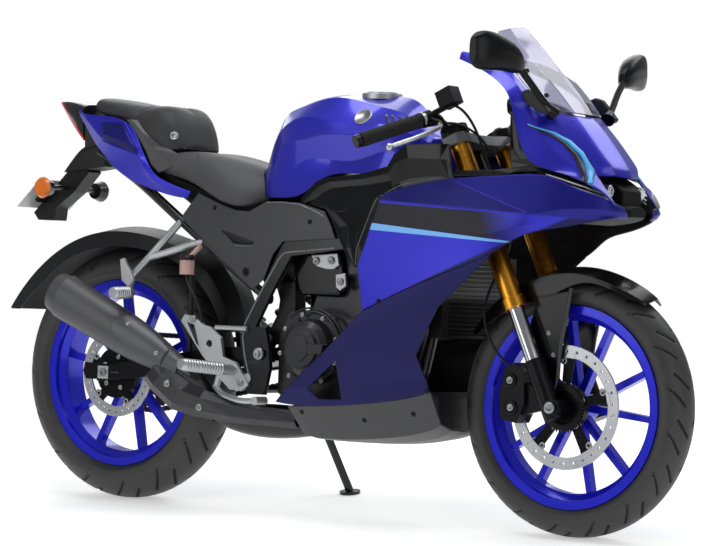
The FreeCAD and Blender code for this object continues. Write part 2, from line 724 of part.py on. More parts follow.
def make_frame():
    """Twin spars from the steering head to the swingarm pivot plates."""
    gap = num("stem_gap")
    top = -num("yoke_height") / 2 - 1
    low = -num("lower_yoke_drop") + num("yoke_height") + 1
    tube = Part.makeCylinder(num("head_tube_radius"), top - low, V(0, 0, low))
    tube.Placement = FORK
    bore = Part.makeCylinder(num("stem_radius") + gap, top - low + 40, V(0, 0, low - 20))
    bore.Placement = FORK
    spar = beam([(1044, 18, 782, 34, 84), (985, 44, 772, 24, 84), (900, 76, 742, 20, 78), (756, num("frame_y") + 3, 672, 16, 62)])
    plate = slab([(770, 705), (740, 700), (560, 655), (509, 560), (448, 455), (436, 422), (446, 380), (462, 284),
                  (516, 284), (530, 350), (524, 400), (512, 446), (482, 446), (536, 545), (582, 618), (750, 640),
                  (770, 644)], num("frame_y"), num("frame_y + frame_wall"))
    half = fused(spar, plate)
    bolt = num("frame_y + frame_wall") + 6
    pivot = rod((num("pivot_x"), -bolt, num("pivot_z")), (num("pivot_x"), bolt, num("pivot_z")), num("pivot_pin"))
    inside = num("frame_y") + 2
    lower = rod((482, -inside, 296), (482, inside, 296), 10)
    shock_top = rod((556, -inside, 612), (556, inside, 612), 12)
    stays = [rod((905, -78, 735), (905, -200, 735), 6), rod((905, 78, 735), (905, 200, 735), 6)]
    stays = [stay.cut(placed("side_fairing_right")).cut(placed("side_fairing_left")) for stay in stays]
    stays = [max(stay.Solids, key=lambda piece: piece.Volume) for stay in stays]
    boss, pin = stand_pivot()
    whole = fused(tube, half, mirrored(half), pivot, lower, shock_top, boss, pin, *stays)
    feature("main_frame", whole.cut(bore))


def stand_axes():
    """The stand's pivot, its leg's way when down and when up, and its hinge axis."""
    pivot = V(num("stand_x"), num("stand_y"), num("stand_z"))
    back = LEAN.inverse()
    foot = V(num("stand_foot_x"), num("stand_foot_y"), 0)
    road = LEAN.multVec(foot)
    road.z = 0
    foot = back.multVec(road)
    down = (foot - pivot).normalize()
    folded = V(-1, 0.12, 0.10).normalize()
    axis = down.cross(folded).normalize()
    return pivot, foot, down, folded, axis


def stand_pivot():
    pivot, foot, down, folded, axis = stand_axes()
    boss = Part.makeCylinder(17, 26, pivot - axis * 26, axis)
    arm = rod(tuple(pivot - axis * 20), (num("stand_x") + 12, num("frame_y"), 300), 8)
    pin = Part.makeCylinder(num("stand_pin"), 18, pivot - axis * 3, axis)
    cap = Part.makeCylinder(num("stand_pin") + 4, 4, pivot + axis * 14.4, axis)
    return fused(boss, arm), fused(pin, cap)


def make_side_stand():
    pivot, foot, down, folded, axis = stand_axes()
    road_up = LEAN.inverse().Rotation.multVec(V(0, 0, 1))
    ring = Part.makeCylinder(16, 13.5, pivot + axis * 0.4, axis)
    hole = Part.makeCylinder(num("stand_pin") + 0.25, 20, pivot - axis * 2, axis)
    tongue = Part.makeBox(34, 24, 13.5, V(0, -12, 0))
    tongue.Placement = Placement(pivot + axis * 0.4, Rotation(down, axis.cross(down), axis, "ZXY"))
    start = pivot + axis * 8 + down * 20
    leg = rod(tuple(start), tuple(foot + road_up * 6), num("stand_tube"))
    road = Part.makeBox(900, 900, 60, V(0, -200, -60))
    road.Placement = LEAN.inverse()
    shoe = Part.makeCylinder(26, 7, foot, road_up)
    feature("side_stand", fused(ring, baked(tongue), leg, shoe).cut(hole).cut(baked(road)))


def rails():
    low = pipe([(492, -84, 512), (350, -82, 600), (215, -78, 690), (60, -68, 790), (-90, -52, 868)], 12, 0.3)
    high = pipe([(608, -84, 652), (430, -84, 706), (250, -78, 752), (60, -62, 832), (-70, -50, 872)], 12, 0.3)
    lugs = [rod((492, -84, 512), (492, -num("frame_y"), 512), 11),
            rod((608, -84, 652), (608, -num("frame_y"), 652), 11)]
    pegs = [rod((60, -66, 820), (60, -118, 820), 6), rod((430, -84, 706), (430, -130, 706), 6)]
    pegs = [peg.cut(placed("tail_cowls")).cut(placed("side_covers")) for peg in pegs]
    pegs = [max(peg.Solids, key=lambda piece: piece.Volume) for peg in pegs]
    return fused(low, high, *lugs, *pegs)


def make_subframe():
    side = rails()
    ties = [rod((x, -y, z), (x, y, z), 9) for x, y, z in ((-30, 58, 836), (215, 78, 690), (250, 78, 752))]
    feature("rear_subframe", fused(side, mirrored(side), *ties))


def make_engine():
    """One block: crankcase, forward-leaning cylinder and head, output shaft and its sprocket."""
    body = new_body("Engine")
    pad(body, "XZ_Plane", [[("632", "262"), ("700", "262"), ("795", "285"), ("815", "400"), ("770", "470"),
                            ("632", "486")]], "180")
    pad(body, "XZ_Plane", [[("530", "290"), ("580", "262"), ("640", "262"), ("640", "486"), ("560", "486"),
                            ("530", "430")]], "140", "20")
    pad(body, "XZ_Plane", [[("600", "470"), ("775", "470"), ("800", "560"), ("640", "575")]], "136")
    pad(body, "XZ_Plane", [[("628", "565"), ("800", "548"), ("806", "620"), ("790", "640"), ("660", "650"),
                            ("636", "630")]], "150")
    pad(body, "XZ_Plane", [("circle", "shaft_x", "shaft_z", "11")], "2 * chain_y + 12")
    pad(body, "XZ_Plane", [("circle", "shaft_x", "shaft_z",
                            "chain_pitch / (2 * sin(180 deg / drive_teeth)) - roller_radius - chain_gap")],
        "sprocket_wall", "-chain_y")
    keep("engine", body)


def make_engine_covers():
    """The round clutch and generator covers with their screws, and the sprocket cover."""
    def cover(x, z, y_near, y_far, radius):
        sign = 1 if y_far > y_near else -1
        out = V(0, sign, 0)
        depth = abs(y_far - y_near)
        low = Part.makeCylinder(radius + 12, 18, V(x, y_near, z), out)
        wall = Part.makeCone(radius + 1, radius - 4, depth - 32, V(x, y_near + sign * 18, z), out)
        dome = Part.makeCone(radius - 4, radius - 18, 10, V(x, y_far - sign * 14, z), out)
        face = Part.makeCylinder(radius - 26, 8, V(x, y_far - sign * 4, z), out)
        boss = Part.makeCylinder(30, 8, V(x - 6, y_far, z), out)
        bar = slab([(x - 6, z - 13), (x + radius - 6, z - 11), (x + radius - 2, z + 11), (x - 6, z + 13)],
                   y_far - sign * 16, y_far + sign * 7)
        screws = []
        for step in range(7):
            angle = math.radians(20 + step * 360 / 7)
            spot = V(x + math.cos(angle) * (radius + 7), y_near + sign * 18, z + math.sin(angle) * (radius + 7))
            screws.append(Part.makeCylinder(5.5, 6, spot, out))
        return fused(low, wall, dome, face, boss, bar, *screws)
    right = cover(640, 400, -90, -148, 70)
    left = cover(712, 380, 90, 140, 64)
    bay = slab([(526, 330), (640, 318), (646, 440), (540, 432)], 90, 102)
    feature("engine_covers", Part.makeCompound([right, fused(left, bay)]))


def make_radiator():
    """A finned core between two tanks, hung from the frame spars."""
    core = Part.makeBox(26, 250, 190, V(1012, -125, 440))
    window = Part.makeBox(10, 238, 174, V(1030, -119, 448))
    fins = [Part.makeBox(10, 240, 3, V(1028, -120, 452 + 10.4 * step)) for step in range(17)]
    tanks = [Part.makeBox(34, 26, 190, V(1008, y, 440)) for y in (-151, 125)]
    mounts = [rod((1018, s * 84, 626), (930, s * 68, 730), 6) for s in (1, -1)]
    whole = fused(core.cut(window), *fins, *tanks, *mounts).cut(placed("main_frame"))
    feature("radiator", max(whole.Solids, key=lambda piece: piece.Volume))


MUFFLER_START = V(285, -155, 336)
MUFFLER_END = V(-100, -186, 512)


def make_exhaust():
    header = pipe([(802, 0, 590), (900, 0, 580), (925, -10, 480), (905, -30, 330), (840, -40, 236),
                   (740, -48, 222), (640, -52, 220)], 18, 0.4)
    chamber = Part.makeLoft([Part.Wire(Part.makeCircle(r, V(x, y, z), V(-1, 0, 0.02))) for x, y, z, r in
                             ((655, -52, 220, 22), (600, -56, 221, 34), (420, -80, 223, 36),
                              (362, -96, 232, 26))], True)
    axis = (MUFFLER_END - MUFFLER_START).normalize()
    link = pipe([(376, -92, 231), (345, -112, 262), tuple(MUFFLER_START - axis * 42), tuple(MUFFLER_START - axis * 0.3)],
                21, 0.4)
    whole = fused(header, chamber, link).cut(placed("engine"))
    feature("exhaust_pipe", max(whole.Solids, key=lambda piece: piece.Volume))


def muffler_ring(share, wide, tall, grow=0.0):
    axis = (MUFFLER_END - MUFFLER_START).normalize()
    centre = MUFFLER_START + (MUFFLER_END - MUFFLER_START) * share
    side = V(0, -1, 0)
    side = (side - axis * side.dot(axis)).normalize()
    up = side.cross(axis).normalize()
    points = [centre + side * (math.cos(a) * (wide + grow)) + up * (math.sin(a) * (tall + grow))
              for a in [math.pi * 2 * i / 12 for i in range(12)]]
    ring = Part.BSplineCurve()
    ring.interpolate(Points=points, PeriodicFlag=True)
    return Part.Wire(ring.toShape())


def make_muffler():
    """The silencer body with its end cap, and the shield clipped over its front."""
    stations = ((0.0, 24, 24), (0.1, 30, 32), (0.28, 40, 46), (0.6, 47, 54), (0.9, 48, 57), (0.93, 48, 57))
    body = Part.makeLoft([muffler_ring(*station) for station in stations], True)
    cap = Part.makeLoft([muffler_ring(0.93, 46, 55), muffler_ring(1.0, 41, 49)], True)
    outlet = Part.makeLoft([muffler_ring(0.94, 20, 20), muffler_ring(1.02, 20, 20)], True)
    mouth = Part.makeLoft([muffler_ring(0.95, 17, 17), muffler_ring(1.04, 17, 17)], True)
    feature("muffler", fused(body, cap, outlet).cut(mouth))
    guard_stations = stations[1:5]
    outer = Part.makeLoft([muffler_ring(*station, grow=5.0) for station in guard_stations], True)
    inner = Part.makeLoft([muffler_ring(*station, grow=0.4) for station in guard_stations], True)
    oval = Part.BSplineCurve()
    oval.interpolate(Points=[V(x, -300, z) for x, z in ((262, 344), (205, 352), (140, 396), (108, 436), (118, 454),
                                                        (176, 448), (236, 412), (268, 374))], PeriodicFlag=True)
    side = Part.Face(Part.Wire(oval.toShape())).extrude(V(0, 124, 0))
    feature("muffler_guard", max(outer.cut(inner).common(side).Solids, key=lambda piece: piece.Volume))


def make_swingarm():
    """Two arms, a bridge ahead of the tyre and the pivot sleeve; slots hold the axle."""
    body = new_body("Swingarm")
    outline = [("16", "15"), ("16", "-24"), ("-150", "-30"), ("-swingarm_length + 40", "-20"),
               ("-swingarm_length - 26", "-18"), ("-swingarm_length - 26", "18"),
               ("-swingarm_length + 40", "19"), ("-150", "28")]
    pad(body, "XZ_Plane", [[("10", "11"), ("10", "-20"), ("-128", "-24"), ("-128", "10")]], "2 * arm_y")
    for sign in ("", "-"):
        pad(body, "XZ_Plane", [outline], "arm_wall", "%sarm_y" % sign)
    pocket(body, "XZ_Plane", [("circle", "0", "0", "pivot_pin")])
    pocket(body, "XZ_Plane", [("circle", "-swingarm_length", "0", "axle_radius")])
    keep("swingarm", body, SWINGARM)
    reach = "rear_axle_reach"
    keep("rear_axle", minus(cylinder("axle_radius", "2 * %s" % reach, ("0", "-%s" % reach, "0"), "y"),
                            cylinder("axle_bore", "2 * %s + 2" % reach, ("0", "-%s - 1" % reach, "0"), "y")),
         REAR_WHEEL)


def make_shock():
    start = V(556, 0, 612)
    end = V(430, 0, 385)
    axis = (end - start).normalize()
    parts = [Part.makeCylinder(9, (end - start).Length + 12, start, axis),
             Part.makeCylinder(30, 8, start + axis * 40, axis), Part.makeCylinder(30, 8, start + axis * 196, axis)]
    parts += [Part.makeTorus(25, 5.5, start + axis * (54 + 15 * i), axis) for i in range(10)]
    parts.append(Part.makeCylinder(21, 165, start + axis * 42, axis))
    eye = Part.makeCylinder(20, 30, start - V(0, 15, 0), V(0, 1, 0))
    whole = fused(*parts, eye).cut(placed("main_frame")).cut(placed("swingarm"))
    feature("rear_shock", max(whole.Solids, key=lambda piece: piece.Volume))


def make_hugger():
    """The rear mudguard: a wide arch above the tyre with its flap at the rear."""
    half = [
        [(352, 0, 430), (300, 0, 560), (190, 0, 640), (40, 0, 676), (-110, 0, 662), (-250, 0, 590), (-386, 0, 462)],
        [(350, 60, 428), (296, 66, 552), (188, 70, 628), (40, 76, 662), (-108, 78, 648), (-240, 78, 578),
         (-350, 74, 462)],
        [(346, 78, 424), (286, 84, 530), (182, 88, 600), (40, 94, 628), (-100, 96, 612), (-220, 94, 548),
         (-313, 84, 462)],
    ]
    shape = skin(full_rows(half), 4)
    stays = [rod((244, s * 80, 574), (262, s * num("arm_y"), 366), 7) for s in (1, -1)]
    whole = fused(shape, *stays).cut(placed("swingarm"))
    feature("rear_hugger", max(whole.Solids, key=lambda piece: piece.Volume))


# Bodywork
def make_fairings():
    """The side fairing: a blade under the lamp, facets between sharp creases and a lower wedge."""
    upper = [
        [(1462, -64, 750), (1432, -118, 770), (1370, -144, 794), (1302, -157, 816), (1170, -170, 811),
         (1035, -176, 800), (888, -180, 765)],
        [(1466, -56, 737), (1438, -124, 742), (1366, -160, 740), (1288, -184, 728), (1175, -189, 736),
         (1045, -191, 744), (884, -189, 752)],
        [(1465, -52, 731), (1434, -116, 732), (1362, -152, 726), (1285, -180, 704), (1190, -199, 682),
         (1040, -204, 650), (836, -200, 600)],
        [(1462, -48, 726), (1428, -106, 721), (1355, -142, 702), (1275, -172, 684), (1205, -194, 640),
         (1070, -208, 585), (857, -205, 497)],
    ]
    crease = curve([V(*spot) for spot in upper[-1]])
    lower = [
        [tuple(crease.value(4 + 2 * i / 3)) for i in range(4)],
        [(1055, -187, 510), (970, -192, 495), (890, -193, 480), (807, -190, 462)],
        [(987, -168, 400), (900, -172, 396), (810, -174, 392), (717, -172, 388)],
        [(1008, -155, 345), (880, -156, 330), (740, -158, 316), (608, -156, 306)],
        [(1016, -150, 316), (870, -148, 285), (700, -146, 268), (568, -143, 272)],
    ]
    wall = num("skin")
    whole = fused(skin(upper, wall), skin(lower, wall))
    vent = slab([(672, 308), (762, 378), (768, 286), (700, 284)], -230, -120)
    right = whole.cut(vent)
    feature("side_fairing_right", right)
    feature("side_fairing_left", mirrored(right))


def trimmed(rows, wall, outline):
    """A smooth sheet cut to an outline seen from the side."""
    return skin(rows, wall).common(slab(outline, -400, 0))


def make_inner_covers():
    """The black trim between tank and side fairing."""
    rows = [
        [(1290, -146, 900), (1100, -152, 900), (900, -150, 900), (730, -136, 900), (580, -120, 900)],
        [(1290, -152, 780), (1100, -162, 780), (900, -160, 780), (730, -138, 780), (580, -122, 780)],
        [(1290, -150, 580), (1100, -160, 580), (900, -166, 580), (730, -139, 580), (580, -124, 580)],
    ]
    outline = [(1262, 850), (1180, 846), (1100, 868), (1029, 886), (930, 884), (896, 862), (876, 832), (798, 815),
               (690, 806), (655, 798), (624, 772), (604, 751), (686, 731), (712, 694), (744, 640),
               (780, 596), (830, 596), (858, 690), (900, 752), (1040, 778), (1200, 786), (1262, 818)]
    form = trimmed(rows, 3, outline).cut(placed("fuel_tank"))
    form = max(form.Solids, key=lambda piece: piece.Volume)
    pegs = [rod((x, -150, z), (x, -200, z), 6) for x, z in ((1150, 800), (1040, 790))]
    fairing = placed("side_fairing_right")
    pegs = [peg.cut(fairing).cut(form) for peg in pegs]
    pegs = [[piece for piece in peg.Solids if -178 < piece.CenterOfMass.y < -160][0] for peg in pegs]
    feature("inner_covers", both(fused(form, *pegs)))


def make_belly_pan():
    rows = [
        [(1016, 150, 316), (870, 148, 285), (700, 146, 268), (600, 140, 262)],
        [(1024, 112, 240), (900, 112, 205), (720, 108, 190), (620, 100, 200)],
        [(1014, 55, 226), (900, 56, 192), (720, 54, 183), (620, 50, 186)],
        [(1006, 0, 222), (900, 0, 188), (720, 0, 180), (620, 0, 182)],
    ]
    pegs = [rod((760, s * 82, 300), (760, s * 82, 190), 6) for s in (1, -1)]
    whole = fused(skin(full_rows(rows[::-1]), 3.5), *pegs).cut(placed("engine"))
    feature("belly_pan", max(whole.Solids, key=lambda piece: piece.Volume))


def make_side_covers():
    rows = [
        [(190, -88, 790), (380, -108, 790), (560, -120, 790), (740, -124, 790)],
        [(190, -92, 680), (380, -116, 680), (560, -132, 680), (740, -132, 680)],
        [(190, -90, 510), (380, -110, 510), (560, -126, 510), (740, -128, 510)],
    ]
    outline = [(270, 765), (330, 745), (400, 725), (445, 722), (500, 747), (600, 745), (680, 725), (704, 690),
               (716, 662), (560, 652), (530, 622), (500, 560), (466, 535), (215, 705)]
    feature("side_covers", both(trimmed(rows, 3, outline)))


def make_tank():
    """The tank: a ridge and two creases run along each side and meet at the rear face."""
    stations = [
        (440, [(0, 850), (30, 846), (52, 822), (60, 796), (60, 776), (56, 757)]),
        (462, [(0, 905), (40, 895), (66, 850), (76, 812), (80, 785), (76, 757)]),
        (495, [(0, 968), (52, 952), (84, 902), (94, 850), (100, 800), (98, 757)]),
        (555, [(0, 998), (74, 974), (106, 940), (118, 890), (112, 820), (110, 757)]),
        (605, [(0, 1007), (80, 988), (112, 950), (128, 895), (116, 845), (118, 768)]),
        (665, [(0, 1010), (84, 998), (118, 942), (138, 905), (116, 850), (124, 802)]),
        (760, [(0, 1007), (84, 984), (124, 930), (146, 905), (116, 848), (128, 816)]),
        (815, [(0, 1003), (82, 972), (126, 932), (146, 905), (124, 862), (130, 818)]),
        (870, [(0, 975), (78, 955), (118, 925), (134, 900), (128, 868), (128, 828)]),
        (932, [(0, 908), (42, 903), (66, 892), (82, 878), (84, 860), (80, 838)]),
    ]
    rings = []
    for x, half in stations:
        right = [V(x, -y, z) for y, z in half]
        left = [V(x, y, z) for y, z in half[1:]]
        ring = left[::-1] + right
        rings.append(Part.makePolygon(ring + ring[:1]))
    feature("fuel_tank", Part.makeLoft(rings, True))
    cap = fused(Part.makeCylinder(48, 14, V(742, 0, 997)), Part.makeCylinder(36, 18, V(742, 0, 997)))
    feature("fuel_cap", cap.cut(placed("fuel_tank")).Solids[0])


def make_seats():
    rider = [
        (108, [(0, 868), (60, 866), (90, 854), (88, 826)]),
        (200, [(0, 866), (66, 866), (102, 844), (98, 800)]),
        (290, [(0, 862), (72, 860), (112, 822), (106, 768)]),
        (400, [(0, 838), (66, 834), (122, 786), (118, 732)]),
        (460, [(0, 818), (54, 812), (96, 780), (98, 740)]),
        (492, [(0, 788), (40, 786), (60, 776), (62, 764)]),
    ]
    whole = hull(rider).cut(placed("fuel_tank")).cut(placed("side_covers")).cut(placed("tail_cowls"))
    feature("rider_seat", max(whole.Solids, key=lambda piece: piece.Volume))
    pillion = [
        (-112, [(0, 992), (34, 990), (56, 980), (50, 964)]),
        (-85, [(0, 1003), (52, 999), (74, 984), (68, 960)]),
        (0, [(0, 992), (62, 988), (92, 968), (88, 946)]),
        (61, [(0, 982), (66, 978), (98, 950), (94, 925)]),
        (120, [(0, 980), (70, 976), (104, 930), (100, 888)]),
        (152, [(0, 974), (66, 969), (98, 924), (96, 870)]),
        (182, [(0, 938), (56, 930), (84, 898), (84, 866)]),
        (198, [(0, 882), (40, 878), (66, 872), (62, 864)]),
    ]
    feature("pillion_seat", hull(pillion).cut(placed("rider_seat")))


def make_tail():
    rows = [
        [(-152, -62, 979), (-96, -82, 958), (30, -104, 941), (88, -112, 886), (122, -117, 836), (160, -119, 802),
         (258, -114, 768)],
        [(-156, -66, 968), (-98, -84, 932), (-18, -110, 886), (60, -120, 866), (104, -124, 846), (132, -124, 804),
         (256, -116, 761)],
        [(-150, -62, 952), (-92, -74, 890), (-62, -84, 868), (-4, -96, 826), (70, -104, 790), (176, -110, 761),
         (248, -110, 753)],
    ]
    feature("tail_cowls", both(skin(rows, 3)))
    lamp = hull([(-250, [(0, 997), (20, 996), (26, 992), (22, 986)]), (-205, [(0, 997), (36, 993), (44, 970), (36, 942)]),
                 (-152, [(0, 988), (44, 982), (54, 960), (48, 896)])])
    feature("tail_lamp", lamp)


def make_undertail():
    """The tray under the seats, on the subframe's rear tie."""
    under = hull([(-151.5, [(0, 962), (36, 958), (46, 930), (40, 862)]), (-60, [(0, 968), (38, 966), (40, 940), (36, 850)]),
                  (40, [(0, 965), (46, 960), (50, 900), (46, 815)]), (104, [(0, 900), (48, 896), (54, 860), (50, 800)])])
    for label in ("rear_subframe", "pillion_seat", "rider_seat"):
        under = under.cut(placed(label))
    feature("undertail", max(under.Solids, key=lambda piece: piece.Volume))


def make_plate():
    """The plate's bracket under the tail, the plate itself and the two rear signals."""
    arm = hull([(-258, [(0, 838), (24, 836), (34, 828), (30, 812)]), (-152, [(0, 884), (36, 880), (42, 858), (38, 822)]),
                (-90, [(0, 890), (30, 886), (36, 864), (32, 830)])])
    arm = arm.cut(placed("undertail")).cut(placed("tail_lamp"))
    arm = max(arm.Solids, key=lambda piece: piece.Volume)
    tilt = Placement(V(-248, 0, 792), Rotation(V(0, 1, 0), 46))
    bracket = slab([(-246, 822), (-176, 838), (-150, 816), (-200, 764), (-258, 724), (-262, 692), (-316, 692),
                    (-340, 720), (-262, 790)], -24, 24)
    shelf = Part.makeBox(10, 120, 30, V(0, -60, -70))
    shelf.Placement = tilt
    behind = Part.makeBox(90, 300, 400, V(-90, -150, -220))
    behind.Placement = tilt
    feature("plate_holder", fused(arm, bracket, shelf).cut(behind))
    plate_body = Part.makeBox(num("plate_thick"), num("plate_width"), num("plate_height"),
                              V(-num("plate_thick"), -num("plate_width") / 2, -num("plate_height")))
    holes = [Part.makeCylinder(num("plate_hole_radius"), 20, V(-10, s * num("plate_hole_pitch") / 2, -20), V(1, 0, 0))
             for s in (1, -1)]
    sheet_plate = plate_body.cut(Part.makeCompound(holes))
    sheet_plate.Placement = tilt
    feature("number_plate", sheet_plate)
    pair = []
    for sign in (1, -1):
        stalk = rod((-226, sign * 20, 776), (-226, sign * 92, 772), 7).cut(placed("plate_holder"))
        cup = rod((-226, sign * 88, 772), (-226, sign * 112, 772), 20, 27)
        lens = rod((-226, sign * 112, 772), (-226, sign * 120, 772), 27, 22)
        pair.append(fused(stalk, cup, lens))
    feature("turn_signals", Part.makeCompound(pair))


def make_nose():
    """The nose: a ridged middle over the lamps' recess and two flanks that climb beside the screen."""
    middle = [
        [(1331, 0, 954), (1376, 0, 912), (1414, 0, 866), (1434, 0, 838), (1441, 0, 817)],
        [(1320, 52, 956), (1366, 58, 908), (1406, 58, 862), (1424, 54, 840), (1430, 48, 820)],
        [(1288, 110, 960), (1330, 112, 908), (1362, 108, 868), (1388, 97, 838), (1406, 88, 819)],
    ]
    flank = [
        [(1046, 112, 1100), (1136, 112, 1078), (1192, 115, 1046), (1240, 114, 1000)] + middle[-1],
        [(1045, 118, 1096), (1140, 126, 1064), (1212, 138, 1024), (1252, 146, 975), (1285, 148, 920),
         (1322, 145, 874), (1366, 131, 842), (1412, 112, 804), (1462, 88, 750)],
        [(1044, 122, 1082), (1128, 132, 1048), (1190, 152, 1012), (1216, 159, 970), (1238, 162, 905),
         (1272, 163, 849), (1330, 155, 826), (1396, 136, 807), (1460, 100, 758)],
    ]
    wall = num("skin")
    right = skin([[(x, -y, z) for x, y, z in row] for row in flank], wall)
    whole = fused(skin(full_rows(middle), wall), right, mirrored(right))
    for label in ("side_fairing_right", "side_fairing_left"):
        whole = whole.cut(placed(label))
    feature("nose_cowl", max(whole.Solids, key=lambda piece: piece.Volume))


def make_lamps():
    """The lamps' dark housing in its recess, a round lamp each side, a slot at each flank and the chin."""
    form = hull([(1290, [(0, 850), (100, 846), (152, 836), (150, 808)]),
                 (1330, [(0, 846), (90, 842), (146, 818), (140, 792)]),
                 (1392, [(0, 820), (56, 816), (122, 797), (112, 768)]),
                 (1418, [(0, 798), (40, 798), (74, 788), (62, 754)])])
    chin = hull([(1330, [(0, 764), (60, 762), (110, 744), (100, 712)]), (1420, [(0, 760), (50, 757), (82, 744), (70, 722)]),
                 (1464, [(0, 752), (16, 751), (30, 744), (26, 730)])])
    lamps = [rod((1390, s * 72, 787), (1428, s * 66, 785), 15) for s in (1, -1)]
    whole = fused(form, chin, *lamps, rod((1340, 0, 815), (1236, 0, 897), 9))
    for label in ("nose_cowl", "side_fairing_right", "side_fairing_left"):
        whole = whole.cut(placed(label))
    feature("headlamps", max(whole.Solids, key=lambda piece: piece.Volume))


def make_screen():
    half = [
        [(1331, 0, 958), (1282, 0, 1018), (1230, 0, 1072), (1182, 0, 1122), (1138, 0, 1160)],
        [(1318, 55, 960), (1268, 57, 1016), (1214, 56, 1068), (1166, 52, 1116), (1130, 46, 1155)],
        [(1290, 103, 963), (1238, 104, 1000), (1186, 103, 1050), (1146, 95, 1104), (1122, 83, 1146)],
    ]
    feature("windscreen", skin(full_rows(half), num("screen_wall")))


def make_cockpit():
    dash = hull([(1150, [(0, 1002), (60, 998), (78, 985), (74, 962)]), (1200, [(0, 992), (62, 988), (80, 968), (76, 930)]),
                 (1262, [(0, 962), (56, 956), (70, 940), (66, 905)])])
    stay = pipe([(1052, 0, 760), (1110, 0, 800), (1170, 0, 880), (1240, 0, 915)], 12, 0.4)
    cross = rod((1240, -158, 905), (1240, 158, 905), 8)
    whole = fused(dash, stay, cross)
    for label in ("main_frame", "nose_cowl", "headlamps", "yokes"):
        whole = whole.cut(placed(label))
    feature("cockpit", max(whole.Solids, key=lambda piece: piece.Volume))


def make_mirrors():
    def ring(y, x, z, wide, tall, turn):
        points = []
        for step in range(12):
            angle = math.pi * step / 6
            across = math.copysign(abs(math.cos(angle)) ** 0.7, math.cos(angle))
            height = math.copysign(abs(math.sin(angle)) ** 0.7, math.sin(angle))
            points.append(V(x + across * wide, y, z + height * tall))
        line = Part.BSplineCurve()
        line.interpolate(Points=points, PeriodicFlag=True)
        return Part.Wire(line.toShape())
    head = Part.makeLoft([ring(-214, 1276, 1058, 8, 14, 0), ring(-240, 1270, 1068, 20, 30, 0),
                          ring(-290, 1260, 1080, 24, 40, 0), ring(-340, 1248, 1082, 20, 42, 0),
                          ring(-361, 1243, 1082, 9, 28, 0)], True)
    stalk = pipe([(1300, -118, 960), (1292, -150, 985), (1282, -185, 1020), (1274, -232, 1060)], 8, 0.4)
    foot = rod((1302, -114, 956), (1296, -136, 972), 17, 10)
    whole = fused(head, stalk, foot).cut(placed("nose_cowl")).cut(placed("windscreen"))
    feature("mirrors", both(max(whole.Solids, key=lambda piece: piece.Volume)))


def make_footrests():
    plate = slab([(262, 452), (272, 468), (292, 466), (333, 444), (352, 440), (386, 416), (396, 370), (436, 358),
                  (476, 306), (455, 290), (420, 292), (384, 322), (332, 370)], -137, -127)
    plate = plate.cut(slab([(280, 450), (304, 444), (322, 388), (312, 398)], -150, -100))
    plate = plate.cut(rod((352, -150, 400), (352, -100, 400), 9))
    face = -num("frame_y + frame_wall")
    mount = rod((466, -130, 322), (466, face, 322), 11)
    peg = rod((430, -131, 338), (385, -285, 352), 13)
    rider = fused(plate, mount, peg, rod((366, face - 5.8, 440), (462, face - 5.8, 440), 5.8))
    pedal = pipe([(372, -134, 298), (410, -150, 280), (480, -172, 268), (548, -178, 272)], 7, 0.4)
    arm = rod((376, -133, 300), (386, -132, 334), 8)
    tip = rod((546, -160, 272), (546, -202, 272), 10)
    right = fused(rider, pedal, arm, tip)
    lever = pipe([(372, 134, 314), (412, 150, 310), (480, 172, 288), (548, 178, 286)], 7, 0.4)
    arm = rod((376, 133, 312), (386, 132, 340), 8)
    tip = rod((546, 160, 286), (546, 202, 286), 9)
    left = fused(mirrored(rider), lever, arm, tip)
    feature("rider_footrests", Part.makeCompound([right, left]))
    up = pipe([(206, -84, 694), (182, -112, 650), (150, -130, 606), (120, -160, 556), (128, -178, 520)], 9, 0.4)
    tooth = slab([(100, 596), (112, 600), (146, 548), (130, 530), (108, 545)], -184, -176)
    low = pipe([(280, -84, 648), (210, -112, 622), (152, -130, 604)], 9, 0.4)
    peg = rod((128, -170, 516), (124, -236, 514), 13)
    whole = fused(up, low, tooth, peg).cut(placed("rear_subframe"))
    feature("pillion_footrests", both(max(whole.Solids, key=lambda piece: piece.Volume)))


def make_rear_brake():
    centre = REAR_AXLE
    disc_y = -num("rear_disc_y")
    form = slab([(60, 356), (106, 350), (112, 404), (62, 422)], disc_y - 26, disc_y + 20)
    hook = slab([(66, 330), (106, 330), (108, 380), (66, 380)], disc_y - 38, disc_y - 18)
    slot = Part.makeCylinder(num("rear_disc_radius") + 4, num("disc_wall") + 3,
                             V(centre.x, disc_y - num("disc_wall") / 2 - 1.5, centre.z), V(0, 1, 0))
    whole = fused(form, hook).cut(slot).cut(placed("swingarm"))
    feature("rear_caliper", max(whole.Solids, key=lambda piece: piece.Volume))
    cup = Part.makeCylinder(18, 44, V(262, -122, 565))
    bracket = rod((262, -122, 600), (276, -84, 640), 6)
    feature("brake_reservoir", fused(cup, bracket).cut(placed("rear_subframe")).cut(placed("pillion_footrests")))


def main():
    for make in (make_wheels, make_sprocket, make_chain, make_yokes, make_fork, make_handlebars, make_levers,
                 make_front_fender, make_front_brake, make_fairings, make_frame, make_side_stand,
                 make_side_covers, make_tail, make_tank, make_seats, make_subframe, make_undertail,
                 make_engine, make_engine_covers, make_radiator, make_exhaust, make_muffler, make_swingarm,
                 make_shock, make_hugger, make_inner_covers, make_belly_pan, make_plate, make_nose,
                 make_lamps, make_screen, make_cockpit, make_mirrors, make_footrests, make_rear_brake):
        make()
    doc.recompute()
    place_and_write()


